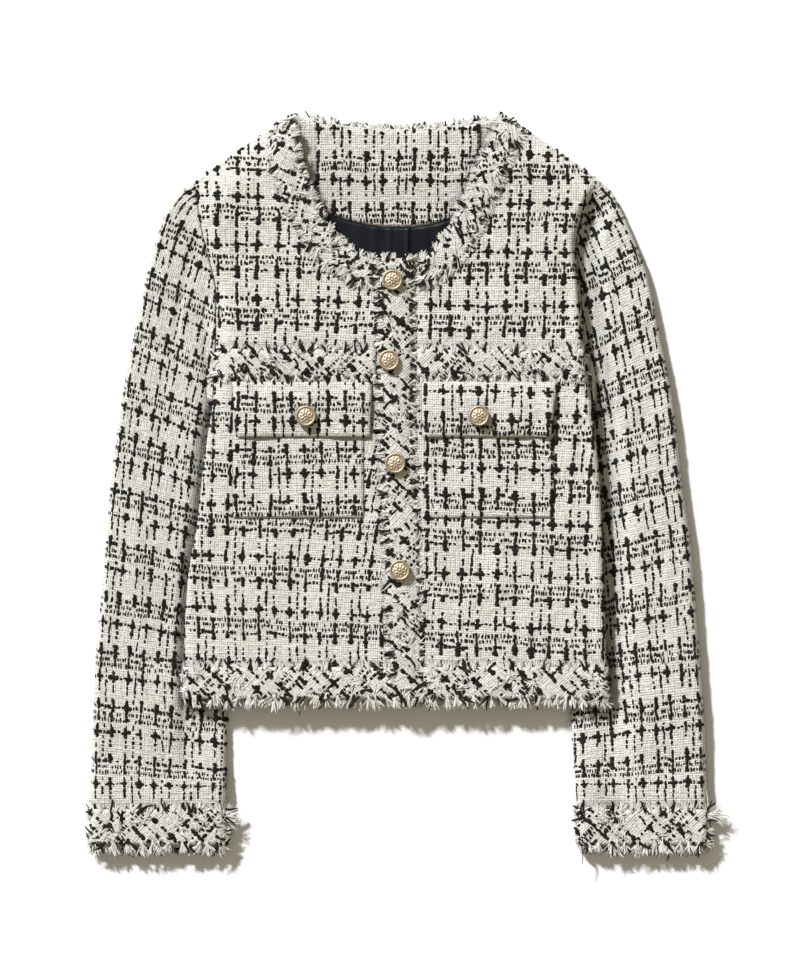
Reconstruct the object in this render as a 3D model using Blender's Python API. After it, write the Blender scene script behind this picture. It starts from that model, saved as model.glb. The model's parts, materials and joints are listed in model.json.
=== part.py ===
"""A cropped tweed jacket with frayed trims, laid flat on a table, buttoned, with its arms down.

Lengths are in metres. +X runs from the wearer's right to the wearer's left, +Y runs from the
hem to the neck, and +Z points up from the table. The tables below are in the laid frame: X is
measured from the centre front, Y from the lowest threads of the cuffs and Z from the table.
The empty "jacket" then moves everything so that the origin is under the middle of the jacket.

The body is a flattened tube. Its back panel lies on the table in the middle and passes over
the sleeves at the sides, and its fronts lie above it and turn under at the side folds. Each
sleeve is a flattened tube that fans out from the armhole. Trims, pockets and flaps lie on the
panels and take their heights from them.
"""

import math

import bmesh
import bpy
from mathutils import Vector

# ------------------------------------------------------------------ driving sizes
WALL = 0.002  # tweed with its interlining
SATIN_WALL = 0.001  # lining with its seam allowance
TRIM_WALL = 0.0023  # a frayed bias strip, pressed flat
SEAM = 0.0003  # gap left between pieces that meet
SEAT = 0.0004  # gap left under a piece that lies on a curved panel
NECK_SEAT = 0.0007  # gap left under the neck trim, which bends across the shoulder

HEM_Y = 0.141
UNDERARM_Y = 0.401
NECK_BOTTOM_Y = 0.5265
SHOULDER_Y = 0.595
NECK_POINT = (0.0925, 0.656)
SHOULDER_POINT = (0.179, SHOULDER_Y)
SLEEVE_END_Y = 0.009

FRONT_Z = 0.0175  # top of the fronts
SLEEVE_TOP_Z = 0.0145
PRESSED_Z = 0.0085  # top of a sleeve where the body lies on it
BACK_LIFT = 0.0097  # underside of the body where it passes over a sleeve
TRIM_LIFT = TRIM_WALL + SEAT  # how far a trim under a panel raises it
SHOULDER_Z = 0.0075  # height of the shoulder seam

FOLD_REACH = 0.006  # how far in from the side fold the fronts start to turn
UNDER_REACH = 0.003  # how far the fronts go on underneath, to the side seam
RIM_DROP = 0.0022  # upright strip of cloth along the shoulder seam and the armhole
SHOULDER_TURN = 0.032  # how far from the shoulder seam the fronts start to turn
BACK_TURN = 0.010  # the same for the back
ARMHOLE_FALL = 0.014  # width over which the fronts sink towards the armhole
SHOULDER_FALL_Y = (SHOULDER_Y - 0.004, SHOULDER_Y + 0.030)  # and where that fades out
# The back rises between these, measured from the sleeve's inner edge under it.
BACK_RISE = (-0.040, -0.008)
BACK_RISE_END_Y = (UNDERARM_Y + 0.005, UNDERARM_Y + 0.060)  # and comes down between these
HEM_LIFT_Y = (0.176, 0.205)  # the back comes down from its hem trim between these
NECK_LIFT_Y = (0.566, 0.604)  # and rises onto its neck trim between these
NECK_LIFT_X = (0.095, 0.125)

OVERLAP_RIGHT_X = 0.011  # edge of the right front, past the centre
OVERLAP_LEFT_X = -0.016  # edge of the left front, hidden under the right one
OVERLAP_DROP = 0.0028  # how much lower the left front lies under the right one
OVERLAP_STEP_X = (0.0125, 0.0203)  # the left front comes up to its level between these

# ------------------------------------------------------------------ tables
# Side folds and armholes: y, distance of the edge from the centre on the right and on the left.
EDGE_ROWS = (
    (0.141, 0.187, 0.184),
    (0.187, 0.188, 0.183),
    (0.246, 0.185, 0.181),
    (0.293, 0.177, 0.1795),
    (0.359, 0.170, 0.175),
    (0.401, 0.163, 0.170),
    (0.456, 0.160, 0.164),
    (0.496, 0.160, 0.161),
    (0.541, 0.170, 0.157),
    (0.566, 0.175, 0.164),
    (0.595, 0.179, 0.179),
)
# Front edge of the armhole: y, height of the cloth.
ARMHOLE_ROWS = (
    (0.401, 0.0150),
    (0.430, 0.0150),
    (0.496, 0.0135),
    (0.566, 0.0120),
    (0.595, 0.0100),
)
# Front neckline: y, distance of the edge from the centre on the right and on the left, and how
# far the neck trim leans down from level there, in degrees.
NECK_ROWS = (
    (0.5270, 0.0060, 0.0130, 88.0),
    (0.5285, 0.0225, 0.0210, 88.0),
    (0.5320, 0.0350, 0.0270, 70.0),
    (0.5410, 0.0490, 0.0360, 56.0),
    (0.5520, 0.058, 0.045, 46.0),
    (0.5660, 0.066, 0.0515, 38.0),
    (0.5840, 0.0755, 0.060, 31.0),
    (0.5950, 0.0800, 0.065, 28.0),
    (0.6130, 0.0860, 0.0715, 28.0),
    (0.6320, 0.0900, 0.0810, 31.0),
    (0.6430, 0.0918, 0.0863, 33.0),
    (0.6535, 0.0935, 0.0915, 35.0),
)
# Inner edge of a sleeve, under the body: y, distance from the centre.
SLEEVE_INSIDE_ROWS = (
    (0.176, 0.145),
    (0.220, 0.131),
    (0.270, 0.118),
    (0.310, 0.106),
    (0.360, 0.100),
    (0.440, 0.110),
)
# Rings of a sleeve, from the armhole to the cuff. Outer end: y, and distance from the centre on
# the right and on the left. Inner end: the same. Then the height of the top layer beside the
# body and under it, and the height of the middle of the ring at its outer and inner end.
SLEEVE_ROWS = (
    (0.595, 0.1790, 0.1790, 0.4022, 0.1630, 0.1700, 0.0100, 0.0150, 0.0078, 0.0128),
    (0.584, 0.1950, 0.1935, 0.3990, 0.1660, 0.1730, 0.0115, 0.0110, 0.0068, 0.0056),
    (0.561, 0.2085, 0.2050, 0.3915, 0.1480, 0.1545, 0.0120, PRESSED_Z, 0.0062, 0.0043),
    (0.518, 0.2200, 0.2180, 0.3815, 0.1340, 0.1400, 0.0125, PRESSED_Z, 0.0063, 0.0043),
    (0.462, 0.2320, 0.2300, 0.3700, 0.1190, 0.1240, 0.0132, PRESSED_Z, 0.0066, 0.0043),
    (0.400, 0.2435, 0.2420, 0.3560, 0.1030, 0.1070, 0.0138, PRESSED_Z, 0.0069, 0.0043),
    (0.333, 0.2525, 0.2495, 0.3050, 0.1070, 0.1100, SLEEVE_TOP_Z, PRESSED_Z, 0.0072, 0.0043),
    (0.280, 0.2570, 0.2570, 0.2620, 0.1200, 0.1220, SLEEVE_TOP_Z, PRESSED_Z, 0.0072, 0.0043),
    (0.227, 0.2615, 0.2615, 0.2130, 0.1325, 0.1340, SLEEVE_TOP_Z, PRESSED_Z, 0.0072, 0.0043),
    (0.174, 0.2660, 0.2655, 0.1630, 0.1460, 0.1480, SLEEVE_TOP_Z, PRESSED_Z, 0.0072, 0.0043),
    (0.130, 0.2680, 0.2690, 0.1280, 0.1505, 0.1520, SLEEVE_TOP_Z, PRESSED_Z, 0.0072, 0.0043),
    (0.108, 0.2690, 0.2700, 0.1060, 0.1510, 0.1535, SLEEVE_TOP_Z, SLEEVE_TOP_Z, 0.0072, 0.0072),
    (0.060, 0.2700, 0.2715, 0.0600, 0.1515, 0.1565, SLEEVE_TOP_Z, SLEEVE_TOP_Z, 0.0072, 0.0072),
    (0.009, 0.2695, 0.2720, 0.0090, 0.1520, 0.1600, SLEEVE_TOP_Z, SLEEVE_TOP_Z, 0.0072, 0.0072),
)
SLEEVE_END_Z = SLEEVE_TOP_Z / 2.0
ARMHOLE_BOW = (1.0, 0.6, 0.25)  # how much of the armhole's curve the first rings keep
# The next rings bend as they pass under the arm: how far outside and above the underarm.
KNEES = {1: (0.006, 0.001), 2: (0.0055, -0.0045), 3: (0.005, -0.0105), 4: (0.004, -0.017)}
PRESS_WIDTH = 0.012  # width over which the sleeve rises beside the body
LEAST_CROSSING = 0.25  # least sine of the angle between a ring and the sleeve's inner edge
CORNER_CROSSING = -0.3  # sine of the turn of that edge from which it is a corner into the sleeve

# Front edge strip: y, distance of its middle from the centre.
FRONT_STRIP_ROWS = (
    (0.1345, 0.008),
    (0.253, 0.005),
    (0.350, 0.000),
    (0.438, -0.002),
    (0.529, -0.001),
)
FRONT_STRIP_HALF = 0.0200

TRIM_LOW = 0.0045  # reach of the neck trim's threads past the edge of the neck
TRIM_HIGH = 0.0285  # reach of the neck trim from that edge over the front
NECK_TRIM_TOP_Y = 0.6515
HEM_TRIM_Y = (0.1325, 0.141, 0.150, 0.162, 0.173)
CUFF_TRIM_Y = (0.049, 0.035, 0.020, 0.004)
CUFF_TRIM_REACH = 0.0085  # how far the threads stand out at the sides of a cuff
CUFF_LIFT_Y = (0.055, 0.085)  # the sleeve comes down to the table between these

CHEST_TRIM_Y = (0.4195, 0.432, 0.441, 0.453)
CHEST_TRIM_X = {"right": 0.0228, "left": OVERLAP_STEP_X[1]}
CHEST_TRIM_ANGLES = (30.0, 60.0)
FLAP_X = {"right": (0.0230, 0.146), "left": (0.0205, 0.140)}
FLAP_BOTTOM_X = {"right": (0.0240, 0.141), "left": (0.0215, 0.134)}
FLAP_ROWS = (  # y, lift of the flap off the front
    (0.3700, 0.0031),
    (0.3880, 0.0029),
    (0.4030, 0.0028),
    (0.4120, 0.0012),
    (0.4190, SEAT),
)
POCKET_Y = (0.299, 0.330, 0.365, 0.4035)
POCKET_X = {"right": (0.030, 0.145), "left": (0.0235, 0.137)}

BACK_NECK_Y = 0.6405  # middle of the back neckline
BACK_NECK_RISE = 0.0125  # how much higher it is at the neck points
BACK_NECK_CORNER = (0.080, 0.003)  # from this far out it rises this much more
FACING_BOTTOM_Y = 0.5555  # lower edge of the facing in the middle
FACING_BOTTOM_RISE = 0.0105  # how much higher that edge is at its ends
FACING_HALF = 0.072
FACING_SEAT = 0.0006
FACING_WALL = 0.0015
LINING_BOTTOM_Y = 0.500
LINING_HALF = 0.062
PLEAT_HALF = 0.008
PLEAT_RISE = 0.0011
NECK_TRIM_BACK_HALF = 0.080
NECK_TRIM_BACK_DEPTH = 0.028
NECK_TRIM_BACK_RISE = 0.004  # reach of its threads past the edge of the neck

BUTTON_RADIUS = 0.009
BUTTON_THICK = 0.0032
BUTTON_FOOT = 0.0009
BUTTON_SIDES = 12
# Buttons down the front and on the flaps: name, x, y, what it lies on.
BUTTONS = (
    ("button_1", -0.005, 0.5085, "strip"),
    ("button_2", -0.008, 0.4380, "strip"),
    ("button_3", -0.0025, 0.3475, "strip"),
    ("button_4", 0.0015, 0.2535, "strip"),
    ("flap_button_right", -0.081, 0.3890, "flap"),
    ("flap_button_left", 0.0710, 0.3890, "flap"),
)

SIDES = ("right", "left")


# ------------------------------------------------------------------ reading the tables
def read(rows, at, column):
    """The value of a column at a place between the rows of a table, in a straight line."""
    if at <= rows[0][0]:
        return rows[0][column]
    for low, high in zip(rows, rows[1:]):
        if at <= high[0]:
            share = (at - low[0]) / (high[0] - low[0])
            return low[column] + share * (high[column] - low[column])
    return rows[-1][column]


def side_column(side):
    return 1 + SIDES.index(side)


def outward(side):
    """Which way along X the side lies."""
    return -1.0 if side == "right" else 1.0


def ease(value, start, end):
    """0 before start, 1 after end and a smooth rise between them."""
    share = min(max((value - start) / (end - start), 0.0), 1.0)
    return share * share * (3.0 - 2.0 * share)


def quarter_round(share):
    """The height of a quarter circle: upright at 0 and level from 1 on."""
    share = min(max(share, 0.0), 1.0)
    return math.sqrt(1.0 - (1.0 - share) ** 2)


def soft_round(share):
    """The height of a softer turn: sloping at 0 and level from 1 on."""
    return math.sin(0.5 * math.pi * min(max(share, 0.0), 1.0))


def mix(a, b, share):
    return a + (b - a) * share


# ------------------------------------------------------------------ outline of the body
def shoulder_x(y):
    """Distance of the shoulder seam from the centre, above the armhole."""
    rise = (NECK_POINT[1] - y) / (NECK_POINT[1] - SHOULDER_POINT[1])
    return mix(NECK_POINT[0], SHOULDER_POINT[0], rise)


def edge_x(side, y):
    """Distance of the side fold, armhole or shoulder seam from the centre."""
    if y > SHOULDER_Y:
        return shoulder_x(y)
    return read(EDGE_ROWS, y, side_column(side))


def shoulder_distance(x, y):
    """How far a place lies from the shoulder seam, towards the body."""
    run = NECK_POINT[0] - SHOULDER_POINT[0]
    rise = NECK_POINT[1] - SHOULDER_POINT[1]
    length = math.hypot(run, rise)
    return ((NECK_POINT[0] - abs(x)) * rise - (NECK_POINT[1] - y) * run) / length


def front_inner_x(side, y):
    """Distance of the front's inner edge from the centre, below zero where it overlaps."""
    if y <= NECK_BOTTOM_Y:
        return -OVERLAP_RIGHT_X if side == "right" else OVERLAP_LEFT_X
    return read(NECK_ROWS, y, side_column(side))


def back_neck_y(x):
    """The back neckline, a shallow curve."""
    return BACK_NECK_Y + BACK_NECK_RISE * (x / NECK_POINT[0]) ** 2


def facing_bottom_y(x):
    return FACING_BOTTOM_Y + FACING_BOTTOM_RISE * (x / FACING_HALF) ** 2


# ------------------------------------------------------------------ heights of the panels
def back_level(x, y):
    """Height of the underside of the back panel."""
    inside = read(SLEEVE_INSIDE_ROWS, y, 1)
    over_sleeve = ease(abs(x), inside + BACK_RISE[0], inside + BACK_RISE[1])
    below_armhole = 1.0 - ease(y, *BACK_RISE_END_Y)
    level = BACK_LIFT * over_sleeve * below_armhole
    level += TRIM_LIFT * (1.0 - ease(y, *HEM_LIFT_Y))
    level += TRIM_LIFT * ease(y, *NECK_LIFT_Y) * (1.0 - ease(abs(x), *NECK_LIFT_X))
    turn = soft_round(shoulder_distance(x, y) / BACK_TURN)
    return mix(SHOULDER_Z - SEAM - RIM_DROP, level, turn)


def front_level(side, x, y):
    """Height of the top of a front, away from its side fold. x is the distance outward."""
    level = FRONT_Z
    if side == "left":
        level -= OVERLAP_DROP * (1.0 - ease(x, *OVERLAP_STEP_X))
    if y > UNDERARM_Y:
        height = read(ARMHOLE_ROWS, y, 1)
        fall = ease(read(EDGE_ROWS, y, side_column(side)) - x, 0.0, ARMHOLE_FALL)
        share = 1.0 - ease(y, *SHOULDER_FALL_Y)
        level = mix(level, mix(height, level, fall), share)
    turn = soft_round(shoulder_distance(x, y) / SHOULDER_TURN)
    return mix(SHOULDER_Z + RIM_DROP, level, turn)


def front_point(side, x, y, lift=0.0):
    """A point on the level part of a front."""
    return Vector((outward(side) * x, y, front_level(side, x, y) + lift))


def turn_reach(side, y):
    """Width of the turned part at the outer edge of a front."""
    return min(FOLD_REACH, 0.5 * (edge_x(side, y) - front_inner_x(side, y)))


def turned_point(side, angle, y, lift=0.0):
    """A point on the outer edge of a front. angle is 0 on top and 180 degrees underneath."""
    reach = turn_reach(side, y)
    flat = edge_x(side, y) - reach
    turn = math.radians(angle)
    x = flat + (reach + lift) * math.sin(turn)
    if y > UNDERARM_Y:
        return front_point(side, x, y, lift)
    top = front_level(side, flat, y)
    bottom = back_level(flat, y)
    middle = (top + bottom) / 2.0
    half = (top - bottom) / 2.0 + lift
    return Vector((outward(side) * x, y, middle + half * math.cos(turn)))


# ------------------------------------------------------------------ making meshes
def add_object(name, mesh, material, parent):
    piece = bpy.data.objects.new(name, mesh)
    bpy.context.scene.collection.objects.link(piece)
    piece.data.materials.append(material)
    piece.parent = parent
    return piece


def grid_mesh(name, rows, flipped):
    """A mesh of the quads of a grid of points. A missing point, None, leaves a gap."""
    work = bmesh.new()
    verts = [[None if p is None else work.verts.new(p) for p in row] for row in rows]
    for low, high in zip(verts, verts[1:]):
        for j in range(len(low) - 1):
            corners = [low[j], low[j + 1], high[j + 1], high[j]]
            if None in corners:
                continue
            if flipped:
                corners.reverse()
            work.faces.new(corners)
    mesh = bpy.data.meshes.new(name)
    work.to_mesh(mesh)
    work.free()
    return mesh


def sheet(name, rows, flipped, wall, grows, material, parent):
    """A sheet of cloth. grows is 1 where the wall is added outside the grid, -1 inside."""
    piece = add_object(name, grid_mesh(name, rows, flipped), material, parent)
    thicken = piece.modifiers.new("cloth", "SOLIDIFY")
    thicken.thickness = wall
    thicken.offset = grows
    thicken.use_even_offset = False
    thicken.use_quality_normals = True


def steps(start, end, count):
    return [mix(start, end, i / count) for i in range(count + 1)]


# ------------------------------------------------------------------ body
BODY_ROWS_Y = (0.141, 0.176, 0.205, 0.246, 0.293, 0.326, 0.359, 0.380, 0.401)
ARMHOLE_ROWS_Y = (0.422, 0.456, 0.496)
FRONT_TOP_ROWS_Y = (NECK_BOTTOM_Y, 0.527, 0.532, 0.541, 0.552, 0.566, 0.584, 0.595)
FRONT_TOP_ROWS_Y += (0.613, 0.630, 0.643, 0.6535)
FRONT_SHARES = (0.30, 0.62, 0.86, 1.0)  # columns from the centre strip to the side
NECK_SHARES = (0.0, 0.12, 0.26, 0.46, 0.68, 0.86, 1.0)  # and beside the neck
TURN_ANGLES = (30.0, 60.0, 90.0)
UNDER_ANGLES = (120.0, 150.0, 180.0)


def front_stops(side, y):
    """Distances from the centre at which a row of a front has points, up to the turn."""
    inner = front_inner_x(side, y)
    flat = edge_x(side, y) - turn_reach(side, y)
    if y > NECK_BOTTOM_Y:
        return [mix(inner, flat, share) for share in NECK_SHARES]
    start = OVERLAP_STEP_X[1]
    return [inner, *OVERLAP_STEP_X] + [mix(start, flat, share) for share in FRONT_SHARES]


def make_front(side, material, parent):
    rows = []
    for y in BODY_ROWS_Y + ARMHOLE_ROWS_Y + FRONT_TOP_ROWS_Y:
        row = [front_point(side, x, y) for x in front_stops(side, y)]
        row += [turned_point(side, angle, y) for angle in TURN_ANGLES]
        if y <= UNDERARM_Y:
            row += [turned_point(side, angle, y) for angle in UNDER_ANGLES]
            x = edge_x(side, y) - FOLD_REACH - UNDER_REACH
            row.append(Vector((outward(side) * x, y, back_level(x, y))))
        else:
            row.append(row[-1] - Vector((0.0, 0.0, RIM_DROP)))
            row += [None] * len(UNDER_ANGLES)
        rows.append(row)
    sheet(f"front_{side}", rows, side == "right", WALL, -1.0, material, parent)


BACK_TOP_ROWS_Y = (0.541, 0.566)
BACK_TOP_SHARES = (0.28, 0.50, 0.74, 0.90, 0.97, 1.0)
BACK_STOPS = (0.0, 0.35, 0.54, 0.64, 0.76, 0.90, 1.0)


def back_edge_x(side, y):
    """Distance of the back panel's edge: the side seam is under the side fold."""
    edge = edge_x(side, y)
    return edge - FOLD_REACH - UNDER_REACH - SEAM if y <= UNDERARM_Y else edge


def make_back(material, parent):
    spots = [("right", share) for share in reversed(BACK_STOPS[1:])]
    spots += [("left", share) for share in BACK_STOPS]

    def back_point(side, x, y):
        return Vector((outward(side) * x, y, back_level(x, y)))

    rows = []
    for y in BODY_ROWS_Y + ARMHOLE_ROWS_Y + BACK_TOP_ROWS_Y:
        rows.append([back_point(s, back_edge_x(s, y) * share, y) for s, share in spots])
    last_y = BACK_TOP_ROWS_Y[-1]
    for rise in BACK_TOP_SHARES:
        row = []
        for s, share in spots:
            x = mix(back_edge_x(s, last_y), SHOULDER_POINT[0], rise) * share
            if x > NECK_POINT[0]:
                down = (x - NECK_POINT[0]) / (SHOULDER_POINT[0] - NECK_POINT[0])
                top = mix(NECK_POINT[1], SHOULDER_POINT[1], down)
            else:
                corner = ease(x, BACK_NECK_CORNER[0], NECK_POINT[0])
                top = back_neck_y(x) + BACK_NECK_CORNER[1] * corner
            row.append(back_point(s, x, mix(last_y, top, rise)))
        rows.append(row)
    rows.append([p + Vector((0.0, 0.0, RIM_DROP)) for p in rows[-1]])
    sheet("back", rows, True, WALL, -1.0, material, parent)


# ------------------------------------------------------------------ inside the neck
def make_facing(material, parent):
    rows = []
    for rise in (None, 0.05) + BACK_TOP_SHARES[:-1]:
        row = []
        for x in steps(-FACING_HALF, FACING_HALF, 8):
            y = facing_bottom_y(x)
            if rise is not None:
                y = mix(BACK_TOP_ROWS_Y[-1], back_neck_y(x), rise)
            row.append((x, y, back_level(x, y) + WALL + FACING_SEAT))
        rows.append(row)
    sheet("back_neck_facing", rows, False, FACING_WALL, 1.0, material, parent)


def make_lining(material, parent):
    """The lining under the facing's lower edge, with a pleat down the middle of the back."""
    folds = (-1.0, -0.55, -0.16, -0.10, 0.0, 0.10, 0.16, 0.55, 1.0)
    rows = []
    for rise in steps(0.0, 1.0, 5):
        row = []
        for share in folds:
            x = LINING_HALF * share
            y = mix(LINING_BOTTOM_Y, facing_bottom_y(x) - 2.0 * SEAM, rise)
            pleat = PLEAT_RISE * (1.0 - ease(abs(x), 0.5 * PLEAT_HALF, PLEAT_HALF))
            row.append((x, y, back_level(x, y) + WALL + SEAT + pleat))
        rows.append(row)
    sheet("back_lining", rows, False, SATIN_WALL, 1.0, material, parent)


# ------------------------------------------------------------------ sleeves
RING_CORNERS = (0.0, 0.30, 1.0)  # places in a ring's rounded end, in shares of its reach
RING_REACH = 0.0065
RING_YS = (0.566, 0.541, 0.496, 0.456, 0.422)  # points of the armhole's own ring


def cuff_lift(y):
    """How far the cuff's trim raises the sleeve off the table."""
    return TRIM_LIFT * (1.0 - ease(y, *CUFF_LIFT_Y))


def along(points, share):
    """The place at a share of the length of a line through points."""
    lengths = [(b - a).length for a, b in zip(points, points[1:])]
    left = share * sum(lengths)
    for start, end, length in zip(points, points[1:], lengths):
        if left <= length:
            return start.lerp(end, left / length)
        left -= length
    return points[-1].copy()


def body_edge_stop(side, line, width):
    """Distance from the outer end of a ring to where it passes under the body."""
    low, high = 0.0, width
    for _ in range(20):
        middle = (low + high) / 2.0
        place = along(line, middle / width)
        if place.x > edge_x(side, place.y) + SEAM:
            low = middle
        else:
            high = middle
    return min(low, width - 1.6 * RING_REACH)


def half_ring_stops(width, between):
    """Distances from the outer end at which a layer of a ring has points."""
    near = [RING_REACH * share for share in RING_CORNERS]
    far = [width - value for value in reversed(near)]
    return near + list(between) + far


def ring_line(side, index):
    """The line of a ring, seen from above, from its outer end to its inner end."""
    row = SLEEVE_ROWS[index]
    column = side_column(side)
    line = [Vector((row[column] + SEAM, row[0])), Vector((row[3 + column] + SEAM, row[3]))]
    if index in KNEES:
        beside, above = KNEES[index]
        line.insert(1, Vector((edge_x(side, UNDERARM_Y) + beside, UNDERARM_Y + above)))
    return line


def crossing(a, b):
    """Sine of the angle from one direction to another, seen from above, or 0 for no length."""
    return a.normalized().cross(b.normalized())


def end_inset(side, index, inset):
    """How far along a ring its inner shell stops short, to be inset off the inner edge there."""
    if not inset:
        return 0.0
    line = ring_line(side, index)
    before = ring_line(side, max(index - 1, 0))[-1]
    after = ring_line(side, min(index + 1, len(SLEEVE_ROWS) - 1))[-1]
    if crossing(line[-1] - before, after - line[-1]) < CORNER_CROSSING:
        return inset
    return inset / max(abs(crossing(line[-1] - line[-2], after - before)), LEAST_CROSSING)


def sleeve_ring(side, index, inset):
    """One ring of a sleeve: the top layer inward, then the bottom layer outward."""
    row = SLEEVE_ROWS[index]
    line = ring_line(side, index)
    far_inset = end_inset(side, index, inset)
    bow = ARMHOLE_BOW[index] if index < len(ARMHOLE_BOW) else 0.0
    width = sum((b - a).length for a, b in zip(line, line[1:]))
    under = body_edge_stop(side, line, width)
    free = under - PRESS_WIDTH
    if index == 0:
        between = [width * (row[0] - y) / (row[0] - row[3]) for y in RING_YS]
    else:
        between = (0.37 * free, 0.72 * free, free, under, (under + width - RING_REACH) / 2.0)
    top, bottom = [], []
    for stop in half_ring_stops(width, between):
        place = along(line, mix(inset, width - far_inset, stop / width) / width)
        if bow:
            y = mix(row[0], row[3], stop / width)
            straight = mix(SHOULDER_POINT[0], edge_x(side, UNDERARM_Y), stop / width)
            place.x += bow * (edge_x(side, y) - straight)
        high = mix(row[7], row[6], ease(under - stop, 0.0, PRESS_WIDTH))
        low = 0.0
        if index == 0:
            high = read(ARMHOLE_ROWS, place.y, 1)
            low = back_level(min(place.x, edge_x(side, place.y)), place.y)
        middle = row[8] if stop < width / 2.0 else row[9]
        lift = cuff_lift(place.y)
        turn = quarter_round(min(stop, width - stop) / RING_REACH)
        x = outward(side) * place.x
        top.append(Vector((x, place.y, mix(middle, high - inset, turn) + lift)))
        bottom.append(Vector((x, place.y, mix(middle, low + inset, turn) + lift)))
    return top + list(reversed(bottom[1:-1]))


def make_tube(name, outer, inner, material, parent):
    """A flattened tube of cloth, open at both ends, between its outer and inner rings."""
    work = bmesh.new()
    shells = []
    for rings in (outer, inner):
        verts = [[work.verts.new(p) for p in ring] for ring in rings]
        shells.append(verts)
        for low, high in zip(verts, verts[1:]):
            for j, point in enumerate(low):
                k = (j + 1) % len(low)
                work.faces.new((point, low[k], high[k], high[j]))
    for end in (0, -1):
        out_ring, in_ring = shells[0][end], shells[1][end]
        for j, point in enumerate(out_ring):
            k = (j + 1) % len(out_ring)
            work.faces.new((point, out_ring[k], in_ring[k], in_ring[j]))
    bmesh.ops.recalc_face_normals(work, faces=work.faces)
    mesh = bpy.data.meshes.new(name)
    work.to_mesh(mesh)
    work.free()
    add_object(name, mesh, material, parent)


def make_sleeve(side, material, parent):
    outer = [sleeve_ring(side, index, 0.0) for index in range(len(SLEEVE_ROWS))]
    inner = [sleeve_ring(side, index, WALL) for index in range(len(SLEEVE_ROWS))]
    make_tube(f"sleeve_{side}", outer, inner, material, parent)


# ------------------------------------------------------------------ trims
def make_neck_trim(side, material, parent):
    column = side_column(side)
    rows = []
    for row in NECK_ROWS[1:]:
        lean = math.radians(row[3])
        line = []
        for reach in steps(-TRIM_LOW, TRIM_HIGH, 5):
            x = row[column] + reach * math.cos(lean)
            y = min(row[0], NECK_TRIM_TOP_Y) - reach * math.sin(lean)
            inside = max(x, front_inner_x(side, y))
            line.append(Vector((outward(side) * x, y, front_level(side, inside, y) + NECK_SEAT)))
        rows.append(line)
    flipped = side == "right"
    sheet(f"neck_trim_{side}", rows, flipped, TRIM_WALL, 1.0, material, parent)


def make_back_neck_trim(material, parent):
    rows = []
    for down in steps(NECK_TRIM_BACK_RISE, -NECK_TRIM_BACK_DEPTH, 3):
        row = []
        for x in steps(-NECK_TRIM_BACK_HALF, NECK_TRIM_BACK_HALF, 10):
            y = back_neck_y(x) + down
            row.append((x, y, back_level(x, min(y, back_neck_y(x))) - SEAT))
        rows.append(row)
    sheet("neck_trim_back", rows, False, TRIM_WALL, 1.0, material, parent)


def make_front_strip(material, parent):
    rows = []
    for y in steps(FRONT_STRIP_ROWS[0][0], FRONT_STRIP_ROWS[-1][0], 8):
        middle = read(FRONT_STRIP_ROWS, y, 1)
        row = []
        for x in steps(middle - FRONT_STRIP_HALF, middle + FRONT_STRIP_HALF, 4):
            row.append((x, y, strip_base(y)))
        rows.append(row)
    sheet("front_edge_trim", rows, False, TRIM_WALL, 1.0, material, parent)


def strip_base(y):
    """Underside of the front edge strip, which lies on the right front all the way."""
    return front_level("right", 0.0, min(y, NECK_BOTTOM_Y)) + SEAT


def make_hem_trim(side, material, parent):
    rows = []
    for y in HEM_TRIM_Y:
        on_y = max(y, HEM_Y)
        start = FRONT_STRIP_HALF + SEAM + outward(side) * read(FRONT_STRIP_ROWS, y, 1)
        stops = [start] + [x for x in front_stops(side, on_y)[-len(FRONT_SHARES):]]
        row = [front_point(side, x, on_y, SEAT) for x in stops]
        row += [turned_point(side, angle, on_y, SEAT) for angle in TURN_ANGLES + UNDER_ANGLES]
        x = edge_x(side, on_y) - FOLD_REACH - UNDER_REACH
        row.append(Vector((outward(side) * x, y, back_level(x, on_y) - SEAT)))
        rows.append([Vector((p.x, y, p.z)) for p in row])
    flipped = side == "right"
    sheet(f"hem_trim_{side}", rows, flipped, TRIM_WALL, 1.0, material, parent)


def make_back_hem_trim(material, parent):
    rows = []
    for y in HEM_TRIM_Y:
        on_y = max(y, HEM_Y)
        row = []
        for side, shares in (("right", reversed(BACK_STOPS[1:])), ("left", BACK_STOPS)):
            for share in shares:
                x = back_edge_x(side, on_y) * share
                row.append((outward(side) * x, y, back_level(x, on_y) - SEAT))
        rows.append(row)
    sheet("hem_trim_back", rows, True, TRIM_WALL, 1.0, material, parent)


def cuff_ring(side, y, grow, reach):
    """A ring round the end of a sleeve, grow outside it, and reach outside it at its sides."""
    on_y = max(y, SLEEVE_END_Y)
    column = side_column(side)
    by_y = sorted((row[0], row[column], row[3 + column]) for row in SLEEVE_ROWS[-3:])
    outer = read(by_y, on_y, 1) + SEAM
    inner = read(by_y, on_y, 2) + SEAM
    width = outer - inner
    top, bottom = [], []
    for stop in half_ring_stops(width, (0.33 * width, 0.67 * width)):
        share = stop / width
        x = mix(outer + reach, inner - reach, share)
        if 0.0 < share < 1.0:
            x = outer - stop
        turn = quarter_round(min(stop, width - stop) / RING_REACH)
        middle = SLEEVE_END_Z + TRIM_LIFT
        high = SLEEVE_TOP_Z + TRIM_LIFT + grow
        low = TRIM_LIFT - grow
        top.append(Vector((outward(side) * x, y, mix(middle, high, turn))))
        bottom.append(Vector((outward(side) * x, y, mix(middle, low, turn))))
    return top + list(reversed(bottom[1:-1]))


def make_cuff_trim(side, material, parent):
    outer = [cuff_ring(side, y, TRIM_LIFT, CUFF_TRIM_REACH) for y in CUFF_TRIM_Y]
    inner = [cuff_ring(side, y, SEAT, 2.0 * SEAT) for y in CUFF_TRIM_Y]
    make_tube(f"cuff_trim_{side}", outer, inner, material, parent)


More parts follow.
